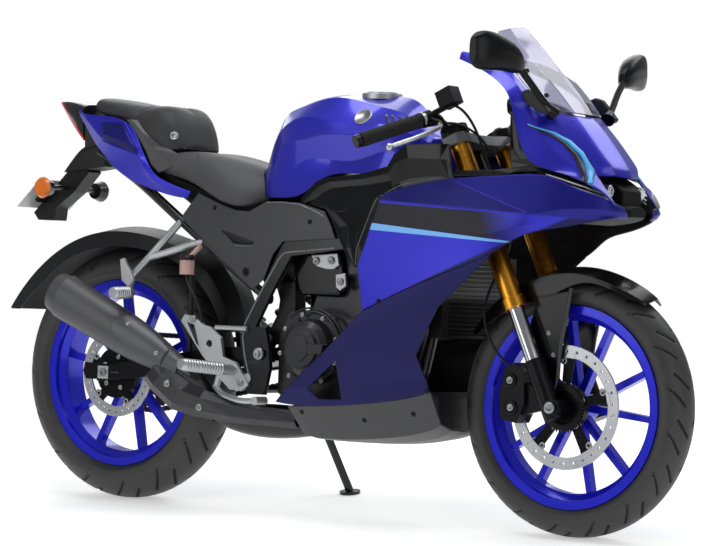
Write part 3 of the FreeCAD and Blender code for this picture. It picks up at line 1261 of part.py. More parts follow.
def place_and_write():
    """Lean every piece, centre the machine on its footprint, check and write."""
    box = FreeCAD.BoundBox()
    for obj, place in nodes.values():
        shape = obj.Shape.copy()
        shape.Placement = LEAN.multiply(place).multiply(shape.Placement)
        box.add(shape.optimalBoundingBox())
    centre = V(box.Center.x, box.Center.y, 0)
    for obj, place in nodes.values():
        obj.Placement = Placement(-centre, Rotation()).multiply(LEAN).multiply(place)
    doc.recompute()
    faults = [obj.Name for obj in doc.Objects if "Invalid" in obj.State or "Error" in obj.State]
    faults += [label for label, (obj, place) in nodes.items() if obj.Shape.isNull() or not obj.Shape.isValid()]
    if faults:
        raise RuntimeError("failed: " + ", ".join(faults))
    os.makedirs("parts", exist_ok=True)
    for label, (obj, place) in nodes.items():
        obj.Shape.exportStep("parts/%s.step" % label)
    print("nodes", len(nodes), "box", box.XLength, box.YLength, box.ZLength, "low", box.ZMin)
    print_joints(Placement(-centre, Rotation()).multiply(LEAN))


def print_joints(world):
    """Where each joint lies in the parked machine, for the record."""
    pivot, foot, down, folded, axis = stand_axes()
    spots = {"steering": (FORK.Base, FORK.Rotation.multVec(V(0, 0, 1))),
             "front_wheel": (FRONT_AXLE, V(0, 1, 0)), "rear_wheel": (REAR_AXLE, V(0, 1, 0)),
             "side_stand": (pivot, axis)}
    for name, (spot, way) in spots.items():
        spot = world.multVec(spot)
        way = world.Rotation.multVec(way)
        print("joint", name, *["%.6f" % value for value in (*spot, *way)])
    print("world", *["%.9f" % value for value in world.toMatrix().A])
    front_reach_out = num("leg_spread + foot_radius + 4")
    print("axle_bores", 2 * front_reach_out, num("axle_bore"), 2 * num("rear_axle_reach"))
    print("fold", "%.2f" % math.degrees(down.getAngle(folded)))


main()
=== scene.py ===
# %% [markdown]
# Sport bike on its side stand.
# The CAD model is loaded as a fixed frame, and this file dresses it: bodywork,
# tyres, wheels, seats and small parts, each with its own finish.
# All lengths in the helpers are millimetres on the upright machine: X forward
# from the rear axle, Y to the left, Z up from the road.

# %% Load the frame
import json
import math

import bmesh
import bpy
from mathutils import Matrix, Vector
from mathutils.bvhtree import BVHTree


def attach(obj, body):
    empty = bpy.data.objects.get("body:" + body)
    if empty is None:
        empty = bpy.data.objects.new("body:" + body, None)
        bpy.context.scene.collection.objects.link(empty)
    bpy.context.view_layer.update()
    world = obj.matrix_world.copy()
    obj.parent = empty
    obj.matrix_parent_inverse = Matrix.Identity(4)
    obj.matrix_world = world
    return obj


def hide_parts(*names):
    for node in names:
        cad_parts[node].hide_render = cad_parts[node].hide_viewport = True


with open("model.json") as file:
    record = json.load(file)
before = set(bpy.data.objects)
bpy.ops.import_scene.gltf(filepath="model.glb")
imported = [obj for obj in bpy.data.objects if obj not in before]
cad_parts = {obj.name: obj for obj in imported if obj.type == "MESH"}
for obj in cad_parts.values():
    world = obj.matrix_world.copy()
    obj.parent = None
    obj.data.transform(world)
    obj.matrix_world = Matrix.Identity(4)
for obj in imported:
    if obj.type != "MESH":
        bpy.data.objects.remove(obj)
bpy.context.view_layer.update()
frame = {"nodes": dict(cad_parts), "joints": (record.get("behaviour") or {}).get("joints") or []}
nodes = frame["nodes"]

# %% [markdown]
# The machine leans on its stand, so its own upright axes are found from the
# two wheel spindles: Y is the spindle's way, and the line from spindle to
# spindle drops by the difference of the two tyre radii.

# %% The leaning frame
REAR_RADIUS = 314.0
FRONT_RADIUS = 296.0
WHEELBASE = 1325.0
MM = 0.001
joints = {joint["name"]: joint for joint in frame["joints"]}
rear_hub = Vector(joints["rear_wheel_spin"]["pos_m"])
front_hub = Vector(joints["front_wheel_spin"]["pos_m"])
side = Vector(joints["rear_wheel_spin"]["axis"]).normalized()
line = (front_hub - rear_hub)
line = (line - side * line.dot(side)).normalized()
drop = math.atan2(REAR_RADIUS - FRONT_RADIUS, WHEELBASE)
rise = line.cross(side)
ahead = math.cos(drop) * line + math.sin(drop) * rise
upward = math.cos(drop) * rise - math.sin(drop) * line
BIKE = Matrix((ahead, side, upward)).transposed().to_4x4()
BIKE.translation = rear_hub - upward * REAR_RADIUS / 1000
BIKE = BIKE @ Matrix.Scale(MM, 4)


def bike(x, y, z):
    """A point of the upright machine, in millimetres, in the scene."""
    return BIKE @ Vector((x, y, z))


print("lean", round(math.degrees(math.asin(-side.z)), 2))

# %% [markdown]
# The camera stands where the photographer stood: ahead and to the right of
# the machine, at tank height, with a long lens. It leans with the machine,
# because the picture shows the machine upright.

# %% Camera
LENS = 157.2
AIM = (714.0, 0.0, 546.3)
DISTANCE = 7583.3
PICTURE_WIDTH = 728
azimuth, elevation, roll = (math.radians(angle) for angle in (36.04, 0.04, 2.15))
back = Vector((math.sin(azimuth) * math.cos(elevation), -math.cos(azimuth) * math.cos(elevation),
               math.sin(elevation)))
right = Vector((math.cos(azimuth), math.sin(azimuth), 0))
over = back.cross(right)
right, over = (math.cos(roll) * right + math.sin(roll) * over,
               math.cos(roll) * over - math.sin(roll) * right)
pose = Matrix((right, over, back)).transposed().to_4x4()
turn = BIKE.to_3x3().normalized().to_4x4()
camera = bpy.data.objects.new("camera", bpy.data.cameras.new("camera"))
bpy.context.scene.collection.objects.link(camera)
camera.matrix_world = Matrix.Translation(bike(*(Vector(AIM) + back * DISTANCE))) @ turn @ pose
camera.data.lens = LENS
camera.data.shift_x, camera.data.shift_y = (pixels / PICTURE_WIDTH for pixels in (-1.58, 15.95))
camera.data.clip_end = 100
bpy.context.scene.camera = camera
print("camera", [round(v, 2) for v in camera.matrix_world.translation])

# %% [markdown]
# The studio is a pale floor and soft boxes. The floor is white to the camera
# and to glossy rays, and still catches the machine's shadow.

# %% Studio
view = bpy.context.scene.view_settings
view.view_transform = "Standard"


def add(material, kind, inputs=(), **settings):
    """One node, its settings, and what goes into its sockets: a value or another socket."""
    node = material.node_tree.nodes.new(kind)
    for name, value in settings.items():
        setattr(node, name, value)
    for name, value in dict(inputs).items():
        if isinstance(value, bpy.types.NodeSocket):
            material.node_tree.links.new(value, node.inputs[name])
        else:
            node.inputs[name].default_value = value
    return node


def linear(hexa):
    """An sRGB hex value as linear red, green and blue, with full alpha."""
    parts = [int(hexa[i:i + 2], 16) / 255 for i in (1, 3, 5)]
    return tuple(p / 12.92 if p <= 0.04045 else ((p + 0.055) / 1.055) ** 2.4 for p in parts) + (1.0,)


def area_light(name, place, aim, size, power):
    """A soft box at a place in metres, turned to what it lights."""
    lamp = bpy.data.lights.new(name, "AREA")
    lamp.shape = "RECTANGLE"
    lamp.size, lamp.size_y = size
    lamp.energy = power
    obj = bpy.data.objects.new(name, lamp)
    bpy.context.scene.collection.objects.link(obj)
    obj.location = place
    obj.rotation_euler = (Vector(aim) - Vector(place)).to_track_quat("-Z", "Y").to_euler()


area_light("soft box over", (0.1, -0.3, 3.1), (0, 0, 0.6), (2.6, 1.3), 52)
area_light("soft box right", (-1.2, -3.4, 1.9), (0, 0, 0.6), (2.4, 2.0), 31)
area_light("soft box front", (3.6, -1.2, 1.6), (0, 0, 0.6), (1.8, 2.2), 21)
area_light("soft box behind", (-1.9, 2.7, 2.3), (0, 0, 0.7), (3.2, 2.4), 46)
area_light("soft box left", (1.2, 2.3, 2.7), (0.3, 0, 0.8), (2.4, 1.4), 32)

world = bpy.data.worlds.new("studio")
bpy.context.scene.world = world
world.use_nodes = True
world.node_tree.nodes.clear()
rays = add(world, "ShaderNodeLightPath")
seen = add(world, "ShaderNodeMath", {0: rays.outputs["Is Camera Ray"], 1: rays.outputs["Is Transmission Ray"]},
           operation="MAXIMUM")
soft = add(world, "ShaderNodeBackground", {"Color": linear("#EEF1F6"), "Strength": 0.3})
plain = add(world, "ShaderNodeBackground", {"Color": (1, 1, 1, 1), "Strength": 1.0})
both_skies = add(world, "ShaderNodeMixShader", {0: seen.outputs[0], 1: soft.outputs[0], 2: plain.outputs[0]})
add(world, "ShaderNodeOutputWorld", {"Surface": both_skies.outputs[0]})

floor_mesh = bpy.data.meshes.new("floor")
floor_mesh.from_pydata([(-9, -9, -0.001), (9, -9, -0.001), (9, 9, -0.001), (-9, 9, -0.001)], [], [(0, 1, 2, 3)])
floor = bpy.data.objects.new("floor", floor_mesh)
bpy.context.scene.collection.objects.link(floor)
floor_paint = bpy.data.materials.new("matt studio paper")
floor_paint.use_nodes = True
floor_paint.node_tree.nodes.clear()
paper = add(floor_paint, "ShaderNodeBsdfPrincipled", {"Base Color": linear("#F4F4F2"), "Roughness": 0.9})
glow = add(floor_paint, "ShaderNodeEmission", {"Color": (1, 1, 1, 1), "Strength": 0.42})
lit = add(floor_paint, "ShaderNodeAddShader", {0: paper.outputs[0], 1: glow.outputs[0]})
white = add(floor_paint, "ShaderNodeEmission", {"Color": (1, 1, 1, 1), "Strength": 1.0})
from_middle = add(floor_paint, "ShaderNodeVectorMath",
                  {0: add(floor_paint, "ShaderNodeTexCoord").outputs["Object"]}, operation="LENGTH").outputs["Value"]
far = add(floor_paint, "ShaderNodeMapRange", {"Value": from_middle, "From Min": 0.9, "From Max": 2.4})
looks = add(floor_paint, "ShaderNodeLightPath")
direct = 0.0
for kind in ("Is Camera Ray", "Is Glossy Ray", "Is Transmission Ray"):
    direct = add(floor_paint, "ShaderNodeMath", {0: direct, 1: looks.outputs[kind]}, operation="MAXIMUM").outputs[0]
fade = add(floor_paint, "ShaderNodeMath", {0: far.outputs[0], 1: direct}, operation="MULTIPLY")
paper_out = add(floor_paint, "ShaderNodeMixShader", {0: fade.outputs[0], 1: lit.outputs[0], 2: white.outputs[0]})
add(floor_paint, "ShaderNodeOutputMaterial", {"Surface": paper_out.outputs[0]})
floor_mesh.materials.append(floor_paint)
print("studio ready")

# %% [markdown]
# Every finish starts from one recipe: a surface shader, a fine grain that
# bends the light, and a slow change of tone, both read from the real position
# in space, so a grain given in millimetres keeps its size on every piece. No
# moulded or cast edge is sharp, so the bevel node bends the light round each
# edge too, and the edges draw the thin bright lines of the real machine.

# %% The recipe for a finish
def finish(name, hexa, roughness, metallic=0.0, grain=0.9, depth=0.1, patch=90.0, tone=0.12,
           spread=0.06, edge=2.5, **sockets):
    """A finish: its colour, its grain, patch and edge sizes in mm, and how strong they are."""
    material = bpy.data.materials.new(name)
    material.use_nodes = True
    material.node_tree.nodes.clear()
    spot = add(material, "ShaderNodeTexCoord").outputs["Object"]
    fine = add(material, "ShaderNodeTexNoise", {"Vector": spot, "Scale": 1000 / grain, "Detail": 3.0})
    slow = add(material, "ShaderNodeTexNoise", {"Vector": spot, "Scale": 1000 / patch, "Detail": 2.0})
    base = linear(hexa)
    dark = tuple(part * (1 - tone) for part in base[:3]) + (1.0,)
    colour = add(material, "ShaderNodeMix", {0: slow.outputs["Fac"], 6: dark, 7: base}, data_type="RGBA")
    rough = add(material, "ShaderNodeMapRange", {"Value": slow.outputs["Fac"], "To Min": roughness - spread,
                                                 "To Max": roughness + spread})
    bump = add(material, "ShaderNodeBump", {"Height": fine.outputs["Fac"], "Strength": depth,
                                            "Distance": grain / 1000})
    if edge:
        round_edge = add(material, "ShaderNodeBevel", {"Radius": edge / 1000}, samples=4)
        material.node_tree.links.new(round_edge.outputs[0], bump.inputs["Normal"])
    shader = add(material, "ShaderNodeBsdfPrincipled",
                 {"Base Color": colour.outputs[2], "Roughness": rough.outputs[0], "Normal": bump.outputs[0],
                  "Metallic": metallic, "Specular IOR Level": 0.5 if metallic > 0.7 else 0.3})
    shader.name = "surface"
    for socket, value in sockets.items():
        shader.inputs[socket.replace("_", " ")].default_value = value
    add(material, "ShaderNodeOutputMaterial", {"Surface": shader.outputs[0]})
    return material


# %% [markdown]
# Bodywork is injection moulded ABS, sprayed. The nose and tank carry a
# metallic base under clear lacquer; the side fairings a satin lacquer, which
# blurs the highlight along each crease.

# %% Paints
BLUE = "#2120B2"
gloss_blue = finish("sprayed metallic blue, clear lacquer", BLUE, 0.3, 0.5, grain=0.5, depth=0.03, patch=240,
                    tone=0.1, edge=7, Coat_Weight=0.7, Coat_Roughness=0.1)
nose_blue = finish("sprayed metallic blue on soft folds", BLUE, 0.3, 0.5, grain=0.5, depth=0.03, patch=240, tone=0.1,
                   edge=24, Coat_Weight=0.7, Coat_Roughness=0.1)
satin_blue = finish("sprayed metallic blue, satin lacquer", BLUE, 0.36, 0.5, grain=0.5, depth=0.04, patch=240, edge=6,
                    Coat_Weight=0.25, Coat_Roughness=0.25)
sky_blue = finish("sky blue decal film", "#4FB4F5", 0.35, grain=0.6, depth=0.02, Coat_Weight=0.4)
black_film = finish("black decal film", "#15151A", 0.34, grain=0.6, depth=0.02, Coat_Weight=0.4)

# %% [markdown]
# Black parts differ only in how they were moulded: spark-eroded moulds leave
# a matt grain, polished ones a gloss. The mid frame covers are a grey matt.

# %% Plastics and rubber
matt_grey = finish("spark eroded grey plastic", "#333335", 0.42, depth=0.25, patch=160, edge=5,
                   Specular_IOR_Level=0.5)
matt_black = finish("moulded matt black plastic", "#0E0E10", 0.42, depth=0.2, patch=160, edge=3)
gloss_black = finish("moulded gloss black plastic", "#08080A", 0.18, grain=0.8, depth=0.02, edge=4, Coat_Weight=0.14,
                     Coat_Roughness=0.06, Specular_IOR_Level=0.22)
inner_black = finish("rough black plastic of inner parts", "#050506", 0.62, depth=0.2, patch=160, edge=3,
                     Specular_IOR_Level=0.15)
tyre_rubber = finish("cured tyre rubber", "#323231", 0.5, grain=1.2, depth=0.3, patch=60, tone=0.3,
                     Specular_IOR_Level=0.45)
grip_rubber = finish("moulded grip rubber", "#151516", 0.7, grain=1.0, depth=0.4)
vinyl = finish("embossed seat vinyl", "#48484A", 0.5, grain=1.6, depth=0.45, patch=120, tone=0.2)
dark_vinyl = finish("darker seat vinyl", "#2E2E31", 0.46, grain=1.6, depth=0.45, patch=120, tone=0.2)

# %% [markdown]
# Metals: powder coat on the cast wheels and the engine, anodised fork tubes,
# chrome stanchions, ground stainless discs and bare cast aluminium brackets.

# %% Metals
wheel_blue = finish("blue powder coat on cast wheel", "#1A1ECC", 0.24, 0.35, grain=1.0, depth=0.05, patch=120, edge=4,
                    Coat_Weight=0.4, Coat_Roughness=0.1)
engine_black = finish("black paint on cast aluminium", "#2C2C2F", 0.27, 0.35, grain=1.4, depth=0.25, patch=70, edge=4,
                      Coat_Weight=0.3, Coat_Roughness=0.15)
cast_silver = finish("bare cast aluminium", "#B4B6B8", 0.36, 0.85, grain=1.2, depth=0.25, patch=60)
gold = finish("gold anodised aluminium", "#E09A32", 0.26, 1.0, grain=0.7, depth=0.05)
chrome = finish("hard chrome on steel", "#C9CBCE", 0.1, 1.0, grain=0.5, depth=0.01, spread=0.03)
black_metal = finish("satin black anodised aluminium", "#111113", 0.3, 0.5, grain=0.8)
ground_steel = finish("ground stainless steel", "#B9BBBD", 0.3, 1.0, depth=0.12, patch=50)
frame_black = finish("black powder coat on steel", "#0B0B0D", 0.26, grain=1.0, depth=0.08, edge=5, Coat_Weight=0.3,
                     Coat_Roughness=0.12)
muffler_grey = finish("satin grey paint on steel", "#4B4B4E", 0.44, 0.3, grain=0.7, depth=0.06, patch=120,
                      Specular_IOR_Level=0.5)
guard_grey = finish("satin grey heat guard", "#535457", 0.4, 0.4, patch=60, edge=4)
# Painted highlight: a light grey for the thin beads along black ribs, lips and creases
highlight_grey = finish("light grey painted highlight along an edge", "#7E7F82", 0.3, 0.4, patch=40, tone=0.4)
radiator_fins = finish("bare aluminium fins", "#6A6C6F", 0.42, 0.5, grain=1.2, depth=0.3, patch=40, tone=0.3)
cast_grey = finish("bead blasted aluminium", "#6C6D70", 0.38, 0.7, depth=0.2, patch=60)
chain_steel = finish("oiled chain steel", "#4A463F", 0.38, 0.9, grain=0.8, depth=0.15, patch=20, tone=0.4)
zinc = finish("zinc plated steel", "#9A9B9C", 0.3, 0.9, grain=0.7, patch=20)

# %% [markdown]
# Lenses and glass: smoked polycarbonate for the screen, clear for the lamps,
# orange and red for the signals, and a silvered mirror.

# %% Clear parts
smoke = finish("smoked polycarbonate", "#A6A4BE", 0.06, depth=0.0, spread=0.02, Transmission_Weight=0.94,
               Coat_Weight=0.4, Coat_Roughness=0.04)
clear = finish("clear polycarbonate", "#E8ECF0", 0.05, depth=0.0, tone=0.02, spread=0.02, Transmission_Weight=0.9)
orange = finish("orange moulded lens", "#F07A12", 0.15, grain=3.0, depth=0.3, tone=0.25, Transmission_Weight=0.2,
                Coat_Weight=0.6)
smoked_lens = finish("dark smoked lamp lens", "#141012", 0.12, depth=0.02, Coat_Weight=0.7, Coat_Roughness=0.04)
mirror_glass = finish("silvered glass", "#D8DCE0", 0.03, 1.0, depth=0.0, tone=0.02, spread=0.02)
cup_plastic = finish("milky nylon cup", "#CFA9A0", 0.35, grain=1.0, depth=0.05, tone=0.2, Transmission_Weight=0.25)
plate_metal = finish("pressed plate, reflective film", "#C9CBCD", 0.34, 0.3, grain=0.5, patch=60)

CAD_FINISH = {
    tyre_rubber: "front_tyre rear_tyre", wheel_blue: "front_rim rear_rim", ground_steel: "front_disc rear_disc",
    chain_steel: "rear_sprocket drive_chain", gold: "fork_tubes", chrome: "fork_stanchions",
    black_metal: "fork_feet handlebars levers front_caliper rear_caliper mirrors swingarm rear_shock",
    cast_grey: "yokes", zinc: "front_axle rear_axle", grip_rubber: "grips", radiator_fins: "radiator",
    gloss_black: "front_fender cockpit", matt_grey: "side_covers belly_pan",
    frame_black: "main_frame side_stand rear_subframe exhaust_pipe",
    satin_blue: "side_fairing_right side_fairing_left tail_cowls", gloss_blue: "fuel_tank", nose_blue: "nose_cowl",
    engine_black: "engine engine_covers", muffler_grey: "muffler", guard_grey: "muffler_guard",
    smoked_lens: "tail_lamp", cup_plastic: "brake_reservoir", orange: "turn_signals", smoke: "windscreen",
    vinyl: "rider_seat", dark_vinyl: "pillion_seat", inner_black: "headlamps",
    matt_black: "rear_hugger inner_covers undertail plate_holder",
    plate_metal: "number_plate", cast_silver: "rider_footrests pillion_footrests fuel_cap",
}
for material, names in CAD_FINISH.items():
    for name in names.split():
        mesh = nodes[name].data
        mesh.materials.clear()
        mesh.materials.append(material)
print("finishes", len(bpy.data.materials))

# %% [markdown]
# The bodywork is painted outside and bare black plastic inside. On the real
# machine masking does this; here the paint looks at which way each face
# points: a face that looks towards the machine's middle stays black. The
# decals on the side fairing are film, cut along straight lines, so each edge
# is a plane that the paint compares its position with.

# %% Masks in the machine's own axes
MIDDLE = bike(0, 0, 0)
INWARD = -0.012


def along(material, axis, origin=MIDDLE):
    """How far a surface point lies from the origin along an axis, in metres."""
    spot = add(material, "ShaderNodeTexCoord").outputs["Object"]
    away = add(material, "ShaderNodeVectorMath", {0: spot, 1: tuple(origin)}, operation="SUBTRACT")
    return add(material, "ShaderNodeVectorMath", {0: away.outputs[0], 1: tuple(axis)},
               operation="DOT_PRODUCT").outputs["Value"]


def above(material, start, end, soft=0.6):
    """1 above the line from start to end, each an (x, z) in mm seen from the side, and 0 below it."""
    (x0, z0), (x1, z1) = start, end
    length = math.hypot(x1 - x0, z1 - z0)
    normal = (ahead * (z0 - z1) + upward * (x1 - x0)) / length
    height = along(material, normal, bike(x0, 0, z0))
    return add(material, "ShaderNodeMapRange", {"Value": height, "From Min": -soft * MM,
                                                "From Max": soft * MM}).outputs[0]


def opposite(material, mask):
    """1 where a mask is 0, and 0 where it is 1."""
    return add(material, "ShaderNodeMath", {0: 1.0, 1: mask}, operation="SUBTRACT").outputs[0]


def below(material, start, end, soft=0.6):
    """1 below the line and 0 above it."""
    return opposite(material, above(material, start, end, soft))


def overlap(material, *masks):
    """1 where all masks are 1: their product."""
    total = masks[0]
    for mask in masks[1:]:
        total = add(material, "ShaderNodeMath", {0: total, 1: mask}, operation="MULTIPLY").outputs[0]
    return total


def from_axle(material, hub):
    """How far a surface point lies from an axle's line, in metres."""
    spot = add(material, "ShaderNodeTexCoord").outputs["Object"]
    away = add(material, "ShaderNodeVectorMath", {0: spot, 1: tuple(hub)}, operation="SUBTRACT")
    spun = add(material, "ShaderNodeVectorMath", {0: away.outputs[0], 1: tuple(side)}, operation="CROSS_PRODUCT")
    return add(material, "ShaderNodeVectorMath", {0: spun.outputs[0]}, operation="LENGTH").outputs["Value"]


def nearer(material, reach):
    """1 within so many mm of the machine's middle plane."""
    across = add(material, "ShaderNodeMath", {0: along(material, side)}, operation="ABSOLUTE").outputs[0]
    return add(material, "ShaderNodeMath", {0: across, 1: reach * MM}, operation="LESS_THAN").outputs[0]


def overlay(material, mask, hexa, rough=None):
    """Another colour and gloss over the finish where the mask is 1."""
    shader = material.node_tree.nodes["surface"]
    under = shader.inputs["Base Color"].links[0].from_socket
    mix = add(material, "ShaderNodeMix", {0: mask, 6: under, 7: linear(hexa)}, data_type="RGBA")
    material.node_tree.links.new(mix.outputs[2], shader.inputs["Base Color"])
    if rough is not None:
        under = shader.inputs["Roughness"].links[0].from_socket
        mix = add(material, "ShaderNodeMix", {0: mask, 2: under, 3: rough})
        material.node_tree.links.new(mix.outputs[0], shader.inputs["Roughness"])


# Painted shade: the radiator's lower half is painted near black
overlay(radiator_fins, below(radiator_fins, (933, 532), (1042, 532), soft=10), "#0A0A0B", 0.6)


def inside_mask(material):
    """1 on faces that look towards the machine's middle plane."""
    facing = add(material, "ShaderNodeNewGeometry").outputs["True Normal"]
    outward = add(material, "ShaderNodeVectorMath", {0: facing, 1: tuple(side)}, operation="DOT_PRODUCT")
    both = overlap(material, outward.outputs["Value"], along(material, side))
    return add(material, "ShaderNodeMath", {0: both, 1: INWARD}, operation="LESS_THAN").outputs[0]


# %% [markdown]
# The side fairing in one paint, with painted light and shade. Its blue is a
# little lighter than the tank's, a painted highlight for the side that faces the
# lamps. The wedge below the long crease and the facets above the decals take
# darker blues: painted shade where each facet tilts away from the light.

# %% Side fairing paint
# Painted shade: the darker blue of the wedge below the long crease
SHADE_BLUE = "#08084C"
# Painted highlight: this base blue is lighter than the tank's
fairing_paint = finish("sprayed metallic blue, satin lacquer, decals", "#2A28B8", 0.36, 0.5, grain=0.5, depth=0.04,
                       patch=260, tone=0.1, edge=6, Coat_Weight=0.15, Coat_Roughness=0.3)
DECAL_TOP = (884, 747), (1290, 724)
STRIPE_TOP = (860, 700), (1262, 664)
STRIPE_FOOT = (858, 684), (1262, 660)
above_crease = above(fairing_paint, (857, 497), (1300, 690), 2.5)
overlay(fairing_paint, opposite(fairing_paint, above_crease), SHADE_BLUE)
# Painted shade: darker blues on the facets above the decals
above_decals = above(fairing_paint, (884, 752), (1290, 727), 2.0)
overlay(fairing_paint, above_decals, "#15157C")
upper_facet = overlap(fairing_paint, above_decals, below(fairing_paint, (1085, 800), (1290, 727), 2.0))
overlay(fairing_paint, upper_facet, "#121268")
behind_tip = above(fairing_paint, (1262, 640), (1215, 760), 60.0)
band = overlap(fairing_paint, above(fairing_paint, *STRIPE_TOP), below(fairing_paint, *DECAL_TOP), behind_tip)
overlay(fairing_paint, band, "#17171F", 0.36)
stripe = overlap(fairing_paint, above(fairing_paint, *STRIPE_FOOT), below(fairing_paint, *STRIPE_TOP), above_crease)
overlay(fairing_paint, stripe, "#6FA8E0", 0.4)
for paint in (fairing_paint, satin_blue, gloss_blue, nose_blue):
    overlay(paint, inside_mask(paint), "#131315", 0.5)
for name in ("side_fairing_right", "side_fairing_left"):
    nodes[name].data.materials[0] = fairing_paint
print("fairing paint nodes", len(fairing_paint.node_tree.nodes))

# %% [markdown]
# A brake disc is two parts that the CAD holds as one: the ground ring, and
# the black carrier inside it. A third mask parts them by distance from the hub.

# %% Disc finish
def disc_finish(name, hub, ring_mm):
    """Ground steel, with the carrier black inside the ring's inner radius."""
    material = finish(name, "#BFC1C3", 0.3, 1.0, depth=0.12, patch=50)
    carrier = add(material, "ShaderNodeMath", {0: from_axle(material, hub), 1: ring_mm * MM}, operation="LESS_THAN")
    overlay(material, carrier.outputs[0], "#1A1A1C", 0.4)
    return material


nodes["front_disc"].data.materials[0] = disc_finish("ground steel, black front carrier", front_hub, 112.5)
nodes["rear_disc"].data.materials[0] = disc_finish("ground steel, black rear carrier", rear_hub, 83.5)

# %% [markdown]
# New pieces are written in the machine's millimetres and carried into the
# scene. One helper makes a mesh, one a round tube along a smooth line, one a
# set of turned bits, and two lay a film or a bead on the surface of a piece.

# %% Makers of pieces
BRIGHT, DARK = (zinc, "bright_steel"), (black_metal, "frame_black")
CAST, MOULDED, INNER = (cast_silver, "silver_cast"), (matt_black, "black_plastic"), (inner_black, "black_plastic")
HANDS = (-1, 1)
SIDES = ((-1, "right"), (1, "left"))
BESIDE = 420
INTO = BIKE.inverted()
FRONT_AXLE, REAR_AXLE = (WHEELBASE, 0, FRONT_RADIUS), (0, 0, REAR_RADIUS)
trees = {}


def dress(obj, material, body="chassis", smooth=True):
    """Give a piece its finish and its body."""
    obj.data.materials.append(material)
    if smooth and obj.type == "MESH":
        for face in obj.data.polygons:
            face.use_smooth = True
    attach(obj, body)
    return obj


def piece(name, spots, faces, material, slot, body="chassis", smooth=True):
    """A mesh from points in the machine's millimetres."""
    mesh = bpy.data.meshes.new(name)
    mesh.from_pydata([bike(*spot) for spot in spots], [], faces)
    work = bmesh.new()
    work.from_mesh(mesh)
    bmesh.ops.remove_doubles(work, verts=work.verts, dist=0.00001)
    bmesh.ops.recalc_face_normals(work, faces=work.faces)
    work.to_mesh(mesh)
    work.free()
    obj = bpy.data.objects.new(name, mesh)
    bpy.context.scene.collection.objects.link(obj)
    return dress(obj, material, body, smooth)


def grid_faces(rows, columns, close_rows=False, close_columns=False, base=0):
    """Quads between the points of a grid, numbered row by row from base."""
    out = []
    for j in range(rows if close_rows else rows - 1):
        for i in range(columns if close_columns else columns - 1):
            here, there = base + j * columns, base + (j + 1) % rows * columns
            out.append((here + i, here + (i + 1) % columns, there + (i + 1) % columns, there + i))
    return out


def round_hub(hub, radius, angle, across=0.0):
    """A point at a radius and an angle round a hub, seen from the side."""
    return (hub[0] + radius * math.cos(angle), across, hub[2] + radius * math.sin(angle))


def tube(name, spots, radius, material, slot, body="chassis", taper=None):
    """A round hose or wire along a smooth line through its control points."""
    data = bpy.data.curves.new(name, "CURVE")
    data.dimensions = "3D"
    data.bevel_depth = radius * MM
    data.bevel_resolution = 3
    data.use_fill_caps = True
    line = data.splines.new("NURBS")
    line.points.add(len(spots) - 1)
    for step, (point, spot) in enumerate(zip(line.points, spots)):
        point.co = (*bike(*spot), 1.0)
        point.radius = 1.0 if taper is None else taper[step]
    line.order_u = 3
    line.use_endpoint_u = True
    obj = bpy.data.objects.new(name, data)
    bpy.context.scene.collection.objects.link(obj)
    return dress(obj, material, body)


def add_modifier(obj, kind, **settings):
    """One modifier with its settings."""
    modifier = obj.modifiers.new(kind.lower(), kind)
    for name, value in settings.items():
        setattr(modifier, name, value)


def turned(name, parts, material, slot, body="chassis", steps=20):
    """Many turned bits in one mesh: each is a centre, an axis and a profile of (run, radius), in mm."""
    spots, faces = [], []
    for centre, axis, profile in parts:
        axis = Vector(axis).normalized()
        first = axis.orthogonal().normalized()
        second = axis.cross(first)
        base = len(spots)
        for step in range(steps):
            angle = 2 * math.pi * step / steps
            out = first * math.cos(angle) + second * math.sin(angle)
            spots += [tuple(Vector(centre) + axis * run + out * radius) for run, radius in profile]
        faces += grid_faces(steps, len(profile), close_rows=True, base=base)
    return piece(name, spots, faces, material, slot, body)


def strike(target, spot, way):
    """Where a ray of the machine's millimetres meets a piece: the point and the surface's normal."""
    if target.name not in trees:
        graph = bpy.context.evaluated_depsgraph_get()
        trees[target.name] = BVHTree.FromObject(target, graph)
    place, normal, _, _ = trees[target.name].ray_cast(bike(*spot), (BIKE.to_3x3() @ Vector(way)).normalized())
    if place is None:
        return None, None
    return INTO @ place, (INTO.to_3x3() @ normal).normalized()


def from_side(target, x, z, hand):
    """Where a ray from one side meets a piece, and the normal there, turned to that side."""
    place, normal = strike(target, (x, hand * BESIDE, z), (0, -hand, 0))
    return place, normal if place is None or normal.y * hand > 0 else -normal


def film(name, target, upper, lower, material, slot, lift=0.8, steps=7):
    """A thin film laid on a piece between two lines of (x, z) seen from the side."""
    spots, faces = [], []
    for hand in HANDS:
        rows, last = [], None
        for share in (0.0, 0.33, 0.67, 1.0):
            row = []
            for k in range((len(upper) - 1) * steps + 1):
                part, step = min(k // steps, len(upper) - 2), k / steps - min(k // steps, len(upper) - 2)
                a = Vector(upper[part]).lerp(Vector(upper[part + 1]), step)
                b = Vector(lower[part]).lerp(Vector(lower[part + 1]), step)
                x, z = a.lerp(b, share)
                place, normal = from_side(target, x, z, hand)
                if place is None:
                    place = Vector((x, last.y if last else hand * 100, z))
                    normal = Vector((0, hand, 0))
                last = place
                row.append(tuple(place + normal * lift))
            rows.append(row)
        faces += grid_faces(len(rows), len(rows[0]), base=len(spots))
        spots += [spot for row in rows for spot in row]
    made = piece(name, spots, faces, material, slot)
    add_modifier(made, "SOLIDIFY", thickness=0.5 * MM, offset=0.0)
    return made


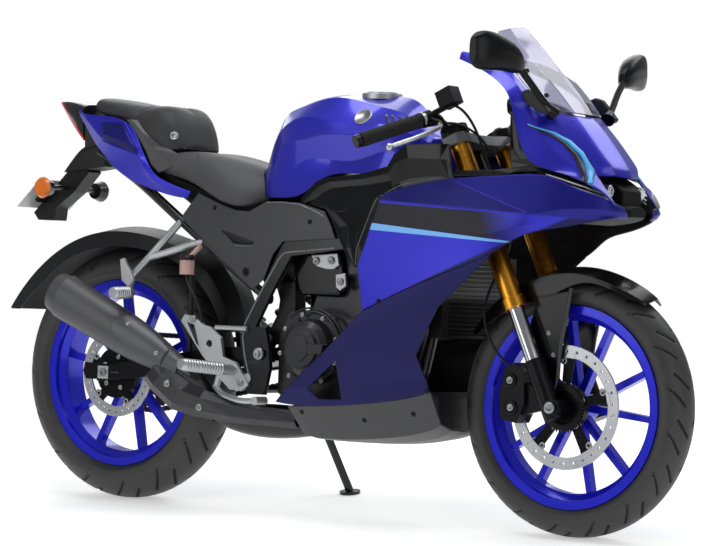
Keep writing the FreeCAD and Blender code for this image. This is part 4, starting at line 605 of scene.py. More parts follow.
def bead(name, target, path, radius, material, slot, hands=HANDS, pitch=14):
    """A thin raised line on a piece's side, along a path of (x, z) seen from the side."""
    for hand in hands:
        spots = []
        for (x0, z0), (x1, z1) in zip(path, path[1:]):
            steps = max(1, round(math.hypot(x1 - x0, z1 - z0) / pitch))
            for step in range(steps + 1):
                x, z = x0 + (x1 - x0) * step / steps, z0 + (z1 - z0) * step / steps
                place = from_side(target, x, z, hand)[0]
                if place and (not spots or (place - Vector(spots[-1])).length > 1):
                    spots.append(tuple(place))
        tube(name + "_" + dict(SIDES)[hand], spots, radius, material, slot)


# %% [markdown]
# A tyre is cured in a mould that presses the tread grooves into its crown.
# The mesh follows the same round crown as the CAD solid, in half degree steps
# round the wheel, and the slanted grooves are pushed 5 mm inwards, so the
# shoulders of each groove catch the light. The rubber is grey, and the bottom
# of each groove is painted black as painted shade.

# %% Treaded tyres
def tread_rubber(name, hub, radius, crown, shoulder_z):
    """Tyre rubber with painted shade: black between 1.1 and 2.1 mm under the crown's round."""
    material = finish(name, "#323231", 0.5, grain=1.2, depth=0.3, patch=60, tone=0.3, Specular_IOR_Level=0.45)
    away, across = from_axle(material, bike(*hub)), along(material, side, bike(*hub))
    high = add(material, "ShaderNodeMath", {0: away, 1: (radius - crown) * MM}, operation="SUBTRACT").outputs[0]
    section = add(material, "ShaderNodeCombineXYZ", {"X": across, "Y": high}).outputs[0]
    under = add(material, "ShaderNodeVectorMath", {0: section}, operation="LENGTH").outputs["Value"]
    groove_shade = add(material, "ShaderNodeMapRange", {"Value": under, "From Min": (crown - 1.1) * MM,
                                                "From Max": (crown - 2.1) * MM}).outputs[0]
    tread = add(material, "ShaderNodeMath", {0: away, 1: (shoulder_z - 4) * MM}, operation="GREATER_THAN").outputs[0]
    # Painted shade: the groove bottoms turn black
    overlay(material, overlap(material, groove_shade, tread), "#070708", 0.8)
    return material


GROOVE_HALF, GROOVE_WALL, GROOVE_DEPTH = 5.2, 3.4, 5.0
RIM_SEAT, RIM_EDGE = 219, 232


def tyre(name, node, hub, width, crown, bead_y, pitches, body):
    """A tyre's whole section swung round its hub, with long and short slanted grooves by turns."""
    radius, half_width = hub[2], width / 2
    shoulder = width * 0.47
    shoulder_z = radius - crown + math.sqrt(crown ** 2 - shoulder ** 2)
    widest_z = RIM_EDGE + (radius - RIM_EDGE) * 0.28
    half = [(bead_y * 0.4, RIM_SEAT), (bead_y - 1, RIM_SEAT), (bead_y, RIM_EDGE),
            (bead_y + (half_width - bead_y) * 0.62, 237.5), (half_width - 1.6, 245), (half_width - 0.4, 248.6),
            (half_width - 1.0, 250.5), (half_width - 0.3, 253),
            (half_width - 0.9, (widest_z + shoulder_z) / 2 + 1), (shoulder + 0.4, shoulder_z - 2)]
    for step in range(1, 15):
        across = shoulder * (1 - step / 14)
        half.append((across, radius - crown + math.sqrt(crown ** 2 - across ** 2)))
    profile = [(-y, r) for y, r in half] + [(y, r) for y, r in reversed(half[:-1])]
    steps = 720
    spots = []
    for step in range(steps):
        angle = 2 * math.pi * step / steps
        for across, away in profile:
            if away > shoulder_z - 3:
                reach = abs(across) / shoulder
                turn = step / steps * pitches - (0.5 if across > 0 else 0.0) - 1.15 * reach ** 1.4
                near = abs((turn + 0.5) % 1.0 - 0.5) / pitches * 2 * math.pi * away
                short = int(math.floor(turn + 0.5)) % 2
                begin, end = (0.12, 0.72) if short else (0.42, 1.02)
                if near < GROOVE_HALF and begin < reach < end:
                    away -= GROOVE_DEPTH * min(1.0, (GROOVE_HALF - near) / GROOVE_WALL)
            spots.append(round_hub(hub, away, angle, across))
    rubber = tread_rubber(name.replace("_", " "), hub, radius, crown, shoulder_z)
    made = piece(name, spots, grid_faces(steps, len(profile), close_rows=True), rubber, "tyre_rubber", body)
    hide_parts(node)
    return made


front_tyre = tyre("front_tread_tyre", "front_tyre", FRONT_AXLE, 100, 54, 34, 34, "front_wheel")
rear_tyre = tyre("rear_tread_tyre", "rear_tyre", REAR_AXLE, 140, 76, 47, 30, "rear_wheel")
print("tyre faces", len(front_tyre.data.polygons), len(rear_tyre.data.polygons))

# %% [markdown]
# A floating disc hangs on round buttons between its ring and the carrier. They
# are turned parts, so each is a profile swung round its own axis. A toothed
# ring beside the front hub, pressed from sheet, tells the wheel speed.

# %% Disc buttons and speed ring
def ring_of(count, hub, radius, across, axis, profile, turn=0.0):
    """The same turned bit at even steps round a hub."""
    return [(round_hub(hub, radius, 2 * math.pi * (step + turn) / count, across), axis, profile)
            for step in range(count)]


BOLT = [(0, 0), (0, 6.5), (3.2, 6.5), (4.4, 5.2), (4.6, 2.6), (2.4, 2.2), (2.4, 0)]
LOW_BOLT = [(0, 0), (0, 6.5), (1.1, 6.5), (1.6, 5.2), (1.6, 2.6), (0.7, 2.2), (0.7, 0)]
LOW_BUTTON = [(0, 0), (0, 9), (0.7, 9), (1.1, 7.6), (1.1, 4.4), (0.4, 3.8), (0.4, 0)]
turned("front_disc_buttons", ring_of(5, FRONT_AXLE, 106, -58.95, (0, -1, 0), LOW_BUTTON, 0.3) +
       ring_of(5, FRONT_AXLE, 52, -61, (0, -1, 0), LOW_BOLT, 0.3), *BRIGHT, "front_wheel")
turned("rear_disc_buttons", ring_of(5, REAR_AXLE, 78, -62.45, (0, -1, 0), LOW_BUTTON, 0.1) +
       ring_of(5, REAR_AXLE, 40, -64.5, (0, -1, 0), BOLT, 0.1), *BRIGHT, "rear_wheel")
turned("sprocket_bolts", ring_of(6, REAR_AXLE, 60, 84, (0, 1, 0), BOLT), *BRIGHT, "rear_wheel")


RING_TEETH, RING_INNER, RING_OUTER, TOOTH = 44, 38, 58, 7.0
ring_spots = []
for step in range(RING_TEETH * 4):
    angle = 2 * math.pi * step / (RING_TEETH * 4)
    rim = RING_OUTER if step % 4 < 2 else RING_OUTER - TOOTH
    for radius, across in ((RING_INNER, -66), (rim, -66), (rim, -68), (RING_INNER, -68)):
        ring_spots.append(round_hub(FRONT_AXLE, radius, angle, across))
piece("front_speed_ring", ring_spots, grid_faces(RING_TEETH * 4, 4, True, True), *DARK, "front_wheel", smooth=False)

# %% [markdown]
# The seats are foam under stretched vinyl. Each starts from the CAD solid's
# own shape, is rebuilt in even 5 mm faces, drawn in a little, and then blown
# up again as cloth, which rounds its edges as stretched vinyl does. The
# pillion pad's fold is pressed in afterwards, because the even faces would
# lose it.

# %% Seats
FACE, DRAWN_IN, CLOTH_REACH = 5, 2.2, 3
PRESS, FOLD_HALF = 2.1, 6


def settle(made, kind, **settings):
    """Add one modifier and keep its result as the piece's mesh."""
    add_modifier(made, kind, **settings)
    made.data = bpy.data.meshes.new_from_object(made.evaluated_get(bpy.context.evaluated_depsgraph_get()))
    made.modifiers.clear()
    return made.data


def cushion(name, node, material, fold=()):
    """A padded copy of a seat's solid: even faces, cloth pressure, then its folds."""
    made = bpy.data.objects.new(name, bpy.data.meshes.new_from_object(nodes[node]))
    bpy.context.scene.collection.objects.link(made)
    mesh = settle(made, "REMESH", mode="VOXEL", voxel_size=FACE * MM)
    for vertex in mesh.vertices:
        vertex.co = vertex.co - vertex.normal * (DRAWN_IN * MM)
    reach = CLOTH_REACH * MM
    start = [vertex.co.copy() for vertex in mesh.vertices]
    cloth = made.modifiers.new("vinyl", "CLOTH")
    cloth.settings.use_pressure = True
    cloth.settings.uniform_pressure_force = 4.0
    cloth.settings.effector_weights.gravity = 0.0
    for moment in range(1, 16):
        bpy.context.scene.frame_set(moment)
    shaped = made.evaluated_get(bpy.context.evaluated_depsgraph_get()).data
    ends = [vertex.co.copy() for vertex in shaped.vertices]
    made.modifiers.remove(cloth)
    bpy.context.scene.frame_set(1)
    for vertex, was, now in zip(mesh.vertices, start, ends):
        way = now - was
        vertex.co = was + (way.normalized() * reach if way.length > reach else way)
    mesh = settle(made, "SUBSURF", levels=1, render_levels=1)
    for vertex in mesh.vertices:
        spot = INTO @ vertex.co
        for start, end in zip(fold, fold[1:]):
            a, b, p = Vector(start), Vector(end), Vector((spot.x, abs(spot.y)))
            share = min(1.0, max(0.0, (p - a).dot(b - a) / (b - a).length_squared))
            gap = (p - a.lerp(b, share)).length
            if gap < FOLD_HALF and vertex.normal.dot(upward) > -0.2:
                vertex.co = vertex.co - vertex.normal * (PRESS * MM) * (1 - gap / FOLD_HALF)
    mesh.materials.clear()
    dress(made, material)
    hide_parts(node)
    return made


rider_seat = cushion("rider_seat_pad", "rider_seat", vinyl)
pillion_seat = cushion("pillion_seat_pad", "pillion_seat", dark_vinyl, [(41, 108), (80, 56), (120, 24), (137, 0)])
print("seat faces", len(rider_seat.data.polygons), len(pillion_seat.data.polygons))

# %% [markdown]
# The pillion pad locks with a key in its front corner. The lock's barrel is
# turned zinc, set where a ray from the side meets the vinyl.

# %% Seat lock
place, normal = strike(pillion_seat, (330, -420, 905), (-0.46, 1, 0))
LOCK = [(-6, 0), (-6, 11), (1.5, 11), (2.6, 9.6), (2.6, 6.6), (1.0, 6.2), (1.0, 2.0), (0.2, 1.6), (0.2, 0)]
turned("seat_lock", [(tuple(place), tuple(normal), LOCK)], *BRIGHT, steps=32)

# %% [markdown]
# The tank's round pad, four slots in its shoulder, and the decal stripes are
# films and shallow turned parts laid on the painted surface: a ray from the
# side finds the surface for each point, so they follow its curve.

# %% Tank and nose trim
tank = nodes["fuel_tank"]
place, normal = from_side(tank, 768, 950, -1)
PAD = [(-4, 0), (-4, 23), (2.0, 23), (3.0, 22), (3.0, 19.5), (1.9, 18.6), (1.9, 0)]
pads = [(tuple(place), tuple(normal), PAD),
        ((place.x, -place.y, place.z), (normal.x, -normal.y, normal.z), PAD)]
turned("tank_round_pads", pads, *BRIGHT, steps=48)
for step in range(4):
    start, end = (824 + 15 * step, 956 - 1.0 * step), (853 + 15 * step, 926 + 2.0 * step)
    film("tank_slot_%d" % (step + 1), tank, [start, end], [(start[0] + 7, start[1] - 1), (end[0] + 7, end[1] - 1)],
         black_film, "black_plastic", steps=5)
nose = nodes["nose_cowl"]
film("nose_sky_stripe", nose, [(1258, 931), (1312, 914), (1344, 896), (1372, 870), (1398, 832), (1416, 796)],
     [(1258, 929), (1310, 910), (1340, 891), (1367, 865), (1392, 828), (1408, 799)], sky_blue, "blue_paint")
film("nose_grey_stripe", nose, [(1256, 929), (1309, 909), (1339, 890), (1366, 864), (1391, 827), (1407, 799)],
     [(1256, 927), (1307, 905), (1335, 886), (1361, 860), (1385, 824), (1399, 802)], black_film, "blue_paint")
# Painted shade: a film of darker blue on the tail cowl's recessed panels
recess_shade_blue = finish("sprayed metallic blue, painted shade of a recess", "#101070", 0.36, 0.5, grain=0.5, depth=0.04, patch=240,
                     Coat_Weight=0.2, Coat_Roughness=0.3)
film("tail_recess_shade", nodes["tail_cowls"], [(-54, 938), (-10, 936), (27, 933)],
     [(-38, 895), (14, 880), (94, 856)], recess_shade_blue, "blue_paint")
bead("tail_edge_ridge", nodes["tail_cowls"], [(-62, 945), (30, 940), (104, 852), (14, 876), (-40, 892)], 1.8,
     satin_blue, "blue_paint")

# %% [markdown]
# The lamps: a clear lens with a bright bowl in each recess, and two light
# bars in the slot between the nose and the blade below it.

# %% Lamps and light bars
LENS_PROFILE = [(0, 0), (0, 13.6), (1.4, 13.6), (4.2, 11.0), (6.2, 6.4), (6.8, 0)]
BOWL = [(-0.4, 14.8), (1.6, 14.8), (1.6, 13.8), (0.6, 13.2), (0.3, 8.0), (0.9, 0)]
spots = [((1428, hand * 66, 785), (1, -hand * 0.16, -0.05)) for hand in (1, -1)]
turned("lamp_lenses", [(spot, way, LENS_PROFILE) for spot, way in spots], clear, "lamp_lens", steps=32)
turned("lamp_bowls", [(spot, way, BOWL) for spot, way in spots], mirror_glass, "bright_steel", steps=32)
light_bar = finish("lit frosted lens", "#DFE3EA", 0.35, depth=0.05, tone=0.08, Coat_Weight=0.3)
for name, upper in (("upper", [(1312, 819), (1352, 808), (1398, 793), (1436, 772)]),
                    ("lower", [(1330, 806), (1362, 797), (1404, 782), (1438, 764)])):
    lower = [(x + shift, z - 3) for (x, z), shift in zip(upper, (1, 0, -1, -2))]
    film("light_bar_" + name, nodes["headlamps"], upper, lower, light_bar, "lamp_lens", lift=1.2)

# %% [markdown]
# Rear lights: the tail lamp is smoked nearly black, with its red element
# along the rear edge; each signal is an orange lens in a black cup. Masks
# part the colours, since each lamp is one moulding in the CAD.

# %% Rear lights
overlay(smoked_lens, below(smoked_lens, (-243, 996), (-140, 892), 1.0), "#C01828", 0.2)
overlay(orange, nearer(orange, 112.5), "#151517", 0.4)
LENS_RIDGE = [(0.2, 21.5), (1.2, 21.2), (1.6, 19.6), (0.9, 18.6), (1.5, 16.4), (0.9, 15.0), (1.5, 12.6), (0.9, 11.0),
              (1.5, 8.6), (0.9, 7.0), (1.5, 4.6), (0.9, 3.0), (1.4, 0)]
turned("signal_lenses", [((-226, hand * 118.2, 772), (0, hand, 0), LENS_RIDGE) for hand in HANDS], orange,
       "lamp_amber", steps=40)

# %% [markdown]
# Grips are rubber sleeves moulded with raised ribs; a grip is turned along
# the bar with one rib every 5 mm, and ends at the bar's weight.

# %% Grips
RIB_PITCH = 5.0
bits = []
for hand in HANDS:
    inner, tip = Vector((1000, hand * 205, 935)), Vector((930, hand * 338, 882))
    length = (tip - inner).length - 4
    profile = [(0, 10.8), (0, 17.6), (4, 17.6), (5, 15.6)]
    run = 7.0
    while run < length - 8:
        profile += [(run, 15.4), (run + 0.8, 16.8), (run + 3.0, 16.8), (run + 3.8, 15.4)]
        run += RIB_PITCH
    profile += [(length - 3, 15.6), (length - 2.4, 16.9), (length, 16.6), (length, 10.8)]
    bits.append((tuple(inner + (tip - inner).normalized() * 2), tuple(tip - inner), profile))
grips = turned("ribbed_grips", bits, grip_rubber, "soft_rubber", "steering", steps=36)
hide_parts("grips")

# %% [markdown]
# Screws and bolts are the scale cue of a machine this size. Each is a small
# turned head with a socket, set square on what it holds. Beside its bolts the
# front fender's edge is rolled into a flange.

# %% Screws and bolts
SCREW = [(-2, 0), (-2, 6), (0.8, 6), (1.8, 4.8), (2.0, 3.0), (0.6, 2.8), (0.6, 0)]
NUT = [(-2, 0), (-2, 9), (4, 9), (5.4, 7.4), (5.4, 4.5), (3.4, 4.2), (3.4, 0)]
CAP = [(-3, 0), (-3, 15), (3, 15), (5, 13), (5, 8), (2.5, 7.5), (2.5, 0)]


def set_on(target, name, places, profile, material, slot, body="chassis", hands=HANDS):
    """Screws on a piece's side, each where a ray from the side meets it."""
    bits = []
    for hand in hands:
        for x, z in places:
            place, normal = from_side(target, x, z, hand)
            bits.append((tuple(place), tuple(normal), profile))
    return turned(name, bits, material, slot, body)


set_on(nodes["side_covers"], "side_cover_screws", [(439, 577), (640, 700), (330, 730)], SCREW, *DARK)
for hand, name in SIDES:
    set_on(nodes["side_fairing_" + name], "fairing_screws_" + name, [(1010, 318), (905, 520)], SCREW, *DARK,
           hands=(hand,))
set_on(nodes["belly_pan"], "belly_screws", [(640, 250), (820, 240), (960, 262)], SCREW, *DARK)
set_on(nodes["main_frame"], "pivot_nuts", [(500, 382)], CAP, *BRIGHT)
set_on(nodes["rider_footrests"], "footrest_bolts", [(452, 310), (300, 458)], NUT, *BRIGHT)
set_on(nodes["muffler_guard"], "guard_screws", [(150, 440), (236, 372)], SCREW, *BRIGHT, hands=(-1,))
for hand, name in SIDES:
    tube("fender_flange_" + name, [(1338, hand * 70, 566), (1325, hand * 70, 494), (1313, hand * 70, 431),
                                   (1311, hand * 70, 364), (1302, hand * 69, 335)], 5, matt_grey, "black_plastic",
         "steering", (1, 1, 1, 0.8, 0.4))
set_on(nodes["front_fender"], "fender_bolts", [(1280, 462), (1295, 413)], SCREW, *BRIGHT, "steering")
set_on(nodes["windscreen"], "screen_screws", [(1205, 1056), (1262, 1000)], SCREW, *DARK)
set_on(nodes["front_caliper"], "caliper_bolts", [(1200, 290), (1196, 352)], NUT, *BRIGHT, "steering", hands=(-1,))
print("screws set")

# %% [markdown]
# The levers are bare aluminium, but their clamps, switches and the fluid box
# are black. One mask by distance from the middle parts them.

# %% Lever finish
lever_metal = finish("polished cast aluminium lever", "#B9BBBD", 0.28, 0.9, patch=60)
overlay(lever_metal, nearer(lever_metal, 206), "#141416", 0.35)
nodes["levers"].data.materials[0] = lever_metal

# %% [markdown]
# Cables and hoses run from the bars into the nose, and a brake hose follows
# the fork leg. Each is a smooth curve with a round section, as a rubber hose
# is; the ends go into their fittings. Those that turn with the bars are
# written in the fork's own axes.

# %% Hoses and cables
hose_rubber = finish("braided rubber hose", "#0F0F10", 0.42, grain=1.2, depth=0.4)
HOSE = (hose_rubber, "soft_rubber")
RAKE = math.radians(25)


def fork(x, y, z):
    """A point in the fork's own axes, X ahead of the steering axis and Z along it, on the upright machine."""
    return (1002 + x * math.cos(RAKE) - z * math.sin(RAKE), y, 880 + x * math.sin(RAKE) + z * math.cos(RAKE))


hose = [(82, -172, 59), (88, -158, 66), (92, -122, 46), (84, -88, 6), (74, -71, -60), (72, -70, -140),
        (72, -70, -215), (62, -66, -262), (20, -62, -300), (-30, -80, -345), (-58, -97, -400), (-60, -100, -465),
        (-45, -92, -520), (-27, -80, -554)]
tube("front_brake_hose", [fork(*spot) for spot in hose], 3.2, *HOSE, "steering")
tube("rear_brake_hose", [(266, -128, 572), (272, -134, 545), (300, -138, 520), (322, -132, 470),
                         (318, -124, 425), (300, -121, 400)], 3.4, *HOSE)
cable = [(60, 176, 38), (84, 160, 46), (96, 124, 28), (84, 88, -6), (73, 71, -60), (60, 58, -92), (34, 46, -104)]
tube("clutch_cable", [fork(*spot) for spot in cable], 3.2, *HOSE, "steering")
tube("clutch_cable_lower", [(1074, 45, 800), (1022, 56, 790), (982, 86, 768), (930, 98, 716), (880, 98, 640),
                            (800, 100, 540)], 3.2, *HOSE)
wire = [(16, 190, 39), (22, 160, 42), (44, 132, 40), (64, 112, 28), (72, 78, 6), (68, 44, -14), (57, 20, -26)]
for hand, name in SIDES:
    tube("switch_wire_" + name, [fork(x, hand * y, z) for x, y, z in wire], 3.0, *HOSE, "steering")
tube("coolant_hose_right", [(968, -128, 664), (930, -132, 668), (880, -118, 640), (848, -104, 590), (822, -96, 548)],
     11, *HOSE)
tube("coolant_hose_left", [(968, 128, 474), (930, 124, 450), (880, 112, 430), (820, 98, 430)], 11, *HOSE)
print("hoses made")

# %% [markdown]
# The engine hangs from the frame by a cast bracket with two bolts, and its
# right cover carries a ring of screws. These are the bright points in the
# dark middle of the machine.

# %% Engine brackets
def plate(name, outline, across, thick, material, slot, bevel=1.2, hands=(-1,)):
    """A flat plate seen from the side, its edges rounded; the outline is (x, z) in mm."""
    spots, faces = [], []
    for hand in hands:
        base, count = len(spots), len(outline)
        spots += [(x, hand * across, z) for x, z in outline]
        spots += [(x, hand * (across - thick), z) for x, z in outline]
        faces.append(tuple(base + n for n in range(count)))
        faces.append(tuple(base + count + n for n in reversed(range(count))))
        for n in range(count):
            m = (n + 1) % count
            faces.append((base + n, base + m, base + count + m, base + count + n))
    made = piece(name, spots, faces, material, slot, smooth=False)
    add_modifier(made, "BEVEL", width=bevel * MM, segments=3, limit_method="ANGLE", angle_limit=0.5)
    return made


plate("engine_bracket_upper", [(622, 622), (700, 628), (706, 600), (690, 590), (668, 590), (640, 596)], 100, 9, *CAST)
plate("engine_bracket_front", [(698, 578), (726, 582), (730, 552), (712, 540), (700, 548)], 101, 9, *CAST)
turned("engine_bracket_bolts", [((x, -100.5, z), (0, -1, 0), NUT) for x, z in ((640, 609), (684, 611), (714, 561))],
       *BRIGHT, steps=24)
CLUTCH = (640, -121.5, 398)
ring = [(round_hub(CLUTCH, 84, math.radians(a), CLUTCH[1]), (0, -1, 0), SCREW)
        for a in (18, 62, 104, 146, 188, 230, 300, 340)]
turned("clutch_cover_screws", ring, *BRIGHT)

# %% [markdown]
# At the rear end of the swingarm a block slides in the arm and sets the
# chain: a black cover, a bright square washer and a scale of marks. The front
# axle ends in a nut on each side.

# %% Axle blocks and nuts
plate("axle_block_covers", [(-62, 338), (40, 334), (52, 318), (40, 298), (-58, 296), (-68, 316)], 113, 3,
      *DARK, hands=HANDS)
plate("axle_washers", [(-18, 331), (16, 331), (16, 299), (-18, 299)], 115.5, 3, *CAST, hands=HANDS)
MARK = [(0, 0), (0, 1.2), (0.8, 1.2), (0.8, 0)]
turned("chain_scale_marks", [((24 + 4 * step, hand * 113, 316), (0, hand, 0), MARK) for hand in HANDS
                             for step in range(7)], *BRIGHT, steps=8)
AXLE_NUT = [(-2, 0), (-2, 13.4), (5, 13.4), (6.6, 11.6), (6.6, 7.6), (1.2, 6.8), (1.2, 0)]
turned("front_axle_nuts", [((1325, hand * 122, 296), (0, hand, 0), AXLE_NUT) for hand in HANDS], *BRIGHT, "steering",
       steps=24)

# %% [markdown]
# Mirrors: silvered glass lies just inside the rear edge of each shell. The
# disc of points is laid on the shell by rays from behind.

# %% Mirror glass
GLASS_RIM = 4


def on_shell(hand, reach, angle):
    """The point of a mirror's shell, seen from behind, at a reach and an angle round its middle."""
    y, z = hand * 292 + reach * math.cos(angle), 1080 + reach * math.sin(angle)
    place = strike(nodes["mirrors"], (1000, y, z), (1, 0, 0))[0]
    return place and (place.x - 1.2, y, z)


spots, faces = [], []
angles = [2 * math.pi * step / 32 for step in range(32)]
for hand in HANDS:
    faces += grid_faces(4, len(angles), close_columns=True, base=len(spots))
    reaches = [next(reach for reach in range(54, 0, -1) if on_shell(hand, reach, angle)) - GLASS_RIM
               for angle in angles]
    for share in (0.0, 0.45, 0.8, 1.0):
        spots += [on_shell(hand, share * reach, angle) for reach, angle in zip(reaches, angles)]
piece("mirror_glass", spots, faces, mirror_glass, "bright_steel")

# %% [markdown]
# Wheels carry a valve stem each, and the fork's top ends in a cap with its
# adjuster. The fuel cap gets its ring of screws and its lock.

# %% Valves, fork caps, cap screws
VALVE = [(0, 0), (0, 4.2), (16, 3.6), (17, 4.6), (28, 4.6), (29.5, 3.4), (29.5, 0)]
for name, hub, reach, angle in (("front", FRONT_AXLE, 216, 2.2), ("rear", REAR_AXLE, 214, 0.7)):
    turned(name + "_valve", [(round_hub(hub, reach, angle), (-math.cos(angle), 0, -math.sin(angle)), VALVE)], *DARK,
           name + "_wheel")
FORK_CAP = [(-2, 0), (-2, 20), (3, 20), (5.5, 18), (5.5, 11), (10, 10), (11, 8.6), (11, 4), (8, 3.4), (8, 0)]
steer = (-math.sin(RAKE), 0, math.cos(RAKE))
turned("fork_caps", [(fork(31.5, hand * 95, 34.3), steer, FORK_CAP) for hand in HANDS], *DARK, "steering", steps=24)
turned("fuel_cap_screws",
       [((742 + 41 * math.cos(math.radians(a)), 41 * math.sin(math.radians(a)), 1011), (0, 0, 1), SCREW)
        for a in range(20, 380, 60)], *BRIGHT)
turned("fuel_cap_lock", [((742, 0, 1015), (0, 0, 1), [(0, 0), (0, 9), (0.8, 9), (0.8, 0)])], *DARK)

# %% [markdown]
# The black trim between tank and fairing is a thin gloss moulding, folded
# like paper: a rim along the tank, a channel below it, then a facet and a
# ridge that runs down beside the fairing. It is written as rows of points
# from the tank down, each with how deep it lies below the trim's outer
# surface; a solidify modifier gives it its wall.

# %% Inner trim
OUTER = ((580, 121), (730, 138), (900, 157), (1100, 160), (1290, 150), (1340, 148))


def sunk(rows):
    """Rows of (x, z, depth) as rows of (x, z, how far out)."""
    def out_at(x):
        for (x0, y0), (x1, y1) in zip(OUTER, OUTER[1:]):
            if x <= x1:
                return y0 + (y1 - y0) * (x - x0) / (x1 - x0)
    return [[(x, z, out_at(x) - depth) for x, z, depth in row] for row in rows]


def folded(name, grids, wall, material, slot, hands=HANDS):
    """A folded moulding on both sides, from grids of rows of (x, z, how far out) in mm."""
    spots, faces = [], []
    for hand in hands:
        for rows in grids:
            faces += grid_faces(len(rows), len(rows[0]), base=len(spots))
            spots += [(x, hand * out, z) for row in rows for x, z, out in row]
    made = piece(name, spots, faces, material, slot, smooth=False)
    add_modifier(made, "SOLIDIFY", thickness=wall * MM, offset=0.0)
    add_modifier(made, "BEVEL", width=1.6 * MM, segments=2, limit_method="ANGLE", angle_limit=0.35)
    return made


upper_rows = [
    [(604, 751, 0), (624, 772, 0), (655, 797, 0), (690, 806, 0), (748, 810, 0), (798, 815, 0), (876, 832, 0)],
    [(611, 744, 0), (632, 762, 0), (661, 784, 0), (695, 795, 0), (750, 799, 0), (803, 803, 0), (880, 816, 0)],
    [(620, 741, 9), (642, 754, 9), (672, 771, 9), (702, 782, 9), (754, 786, 9), (806, 789, 9), (886, 800, 9)],
    [(640, 739, 5), (660, 745, 5), (690, 758, 5), (722, 765, 5), (758, 766, 5), (800, 771, 5), (892, 784, 6)],
    [(686, 731, 3), (700, 728, 2), (714, 726, 0), (738, 726, -1), (764, 734, -2), (806, 752, -2), (896, 768, 4)]]
lower_rows = [
    [(686, 731, 3), (714, 726, 0), (764, 734, -2), (806, 752, -2), (846, 760, -5), (896, 768, 4)],
    [(712, 694, 3), (730, 690, 3), (762, 692, -2), (790, 700, -2), (826, 712, -5), (868, 710, 5)],
    [(744, 640, 3), (756, 640, 3), (772, 642, -2), (784, 645, -2), (798, 648, -5), (846, 645, 5)],
    [(780, 596, 3), (782, 596, 3), (784, 596, 0), (788, 596, -1), (794, 596, -4), (830, 596, 5)]]
front_rows = [
    [(876, 832, 0), (896, 861, 0), (930, 883, 0), (1029, 885, 0), (1050, 884, 0), (1062, 824, 0), (1173, 826, 0),
     (1218, 831, 0), (1260, 849, 0), (1300, 838, -5)],
    [(880, 816, 0), (900, 838, -3), (940, 852, -5), (1030, 850, -5), (1048, 848, -3), (1066, 812, -3),
     (1173, 814, -3), (1218, 820, -2), (1260, 838, -2), (1300, 832, -4)],
    [(892, 784, 6), (910, 796, 4), (944, 806, 4), (1030, 812, 4), (1052, 808, 3), (1078, 800, 3), (1173, 803, 3),
     (1218, 808, 3), (1260, 824, 2), (1300, 826, 0)],
    [(896, 768, 4), (930, 771, 4), (960, 774, 4), (1030, 784, 4), (1060, 786, 4), (1090, 788, 4), (1173, 793, 4),
     (1218, 799, 4), (1260, 814, 4), (1300, 820, 2)]]
nose_rows = [[(1213, 956, 0), (1214, 910, -2), (1216, 872, -2), (1219, 846, -2), (1222, 830, -2)],
             [(1219, 956, -4), (1224, 910, -6), (1229, 874, -6), (1246, 852, -6), (1275, 838, -4)],
             [(1225, 955, -2), (1236, 908, -6), (1244, 874, -7), (1276, 851, -8), (1326, 830, -4)]]
trim = folded("inner_trim", [sunk(rows) for rows in (upper_rows, lower_rows, front_rows, nose_rows)], 2.6,
              gloss_black, "black_plastic")
# Painted highlight: the trim's crease bead is light grey
bead("trim_crease", trim, [(1026, 806), (922, 791), (884, 777), (851, 758), (835, 730), (814, 684), (793, 638),
                           (790, 602)], 1.2, highlight_grey, "black_plastic")
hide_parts("inner_covers")
print("trim faces", len(trim.data.polygons))

# %% [markdown]
# Behind the frame and under the seat are the air box, the battery tray and
# the throttle body. Little of them shows, but they keep the light from
# shining through the machine. They are thick plates with well rounded edges.

# %% Inner machine
plate("air_box", [(640, 752), (760, 760), (800, 700), (780, 640), (600, 640), (470, 640), (440, 690), (470, 742)],
      104, 208, *INNER, bevel=10)
plate("seat_tray", [(108, 838), (200, 800), (300, 768), (420, 744), (478, 742), (470, 706), (400, 700),
                    (280, 728), (180, 766), (104, 812)], 92, 184, *INNER, bevel=6)
plate("throttle_body", [(572, 632), (705, 634), (716, 572), (706, 524), (592, 524), (574, 540), (556, 600)],
      90, 180, gloss_black, "black_plastic", bevel=16)
plate("shock_shields", [(504, 556), (566, 560), (574, 442), (519, 404), (487, 434), (513, 468), (520, 512)],
      84, 44, *MOULDED, bevel=5, hands=HANDS)
plate("battery_sides", [(430, 640), (560, 640), (552, 596), (528, 560), (506, 538), (478, 545), (440, 598)], 88, 50,
      *MOULDED, bevel=6, hands=HANDS)

# %% [markdown]
# The frame is a bent steel tube with a pressed rib, and the covers meet along
# rolled lips. Each rib and lip is a thin bead that follows its part's surface,
# in a light grey that is a painted highlight along it.

# %% Ribs, lips and seams
bead("frame_rib", nodes["main_frame"], [(712, 640), (564, 626), (550, 615), (502, 541), (452, 455), (445, 420),
                                        (454, 374), (470, 325)], 2.2, highlight_grey, "frame_black")
bead("side_cover_lip", nodes["side_covers"], [(500, 744), (551, 746), (603, 741), (655, 725), (694, 706), (710, 684)],
     1.6, highlight_grey, "grey_plastic")
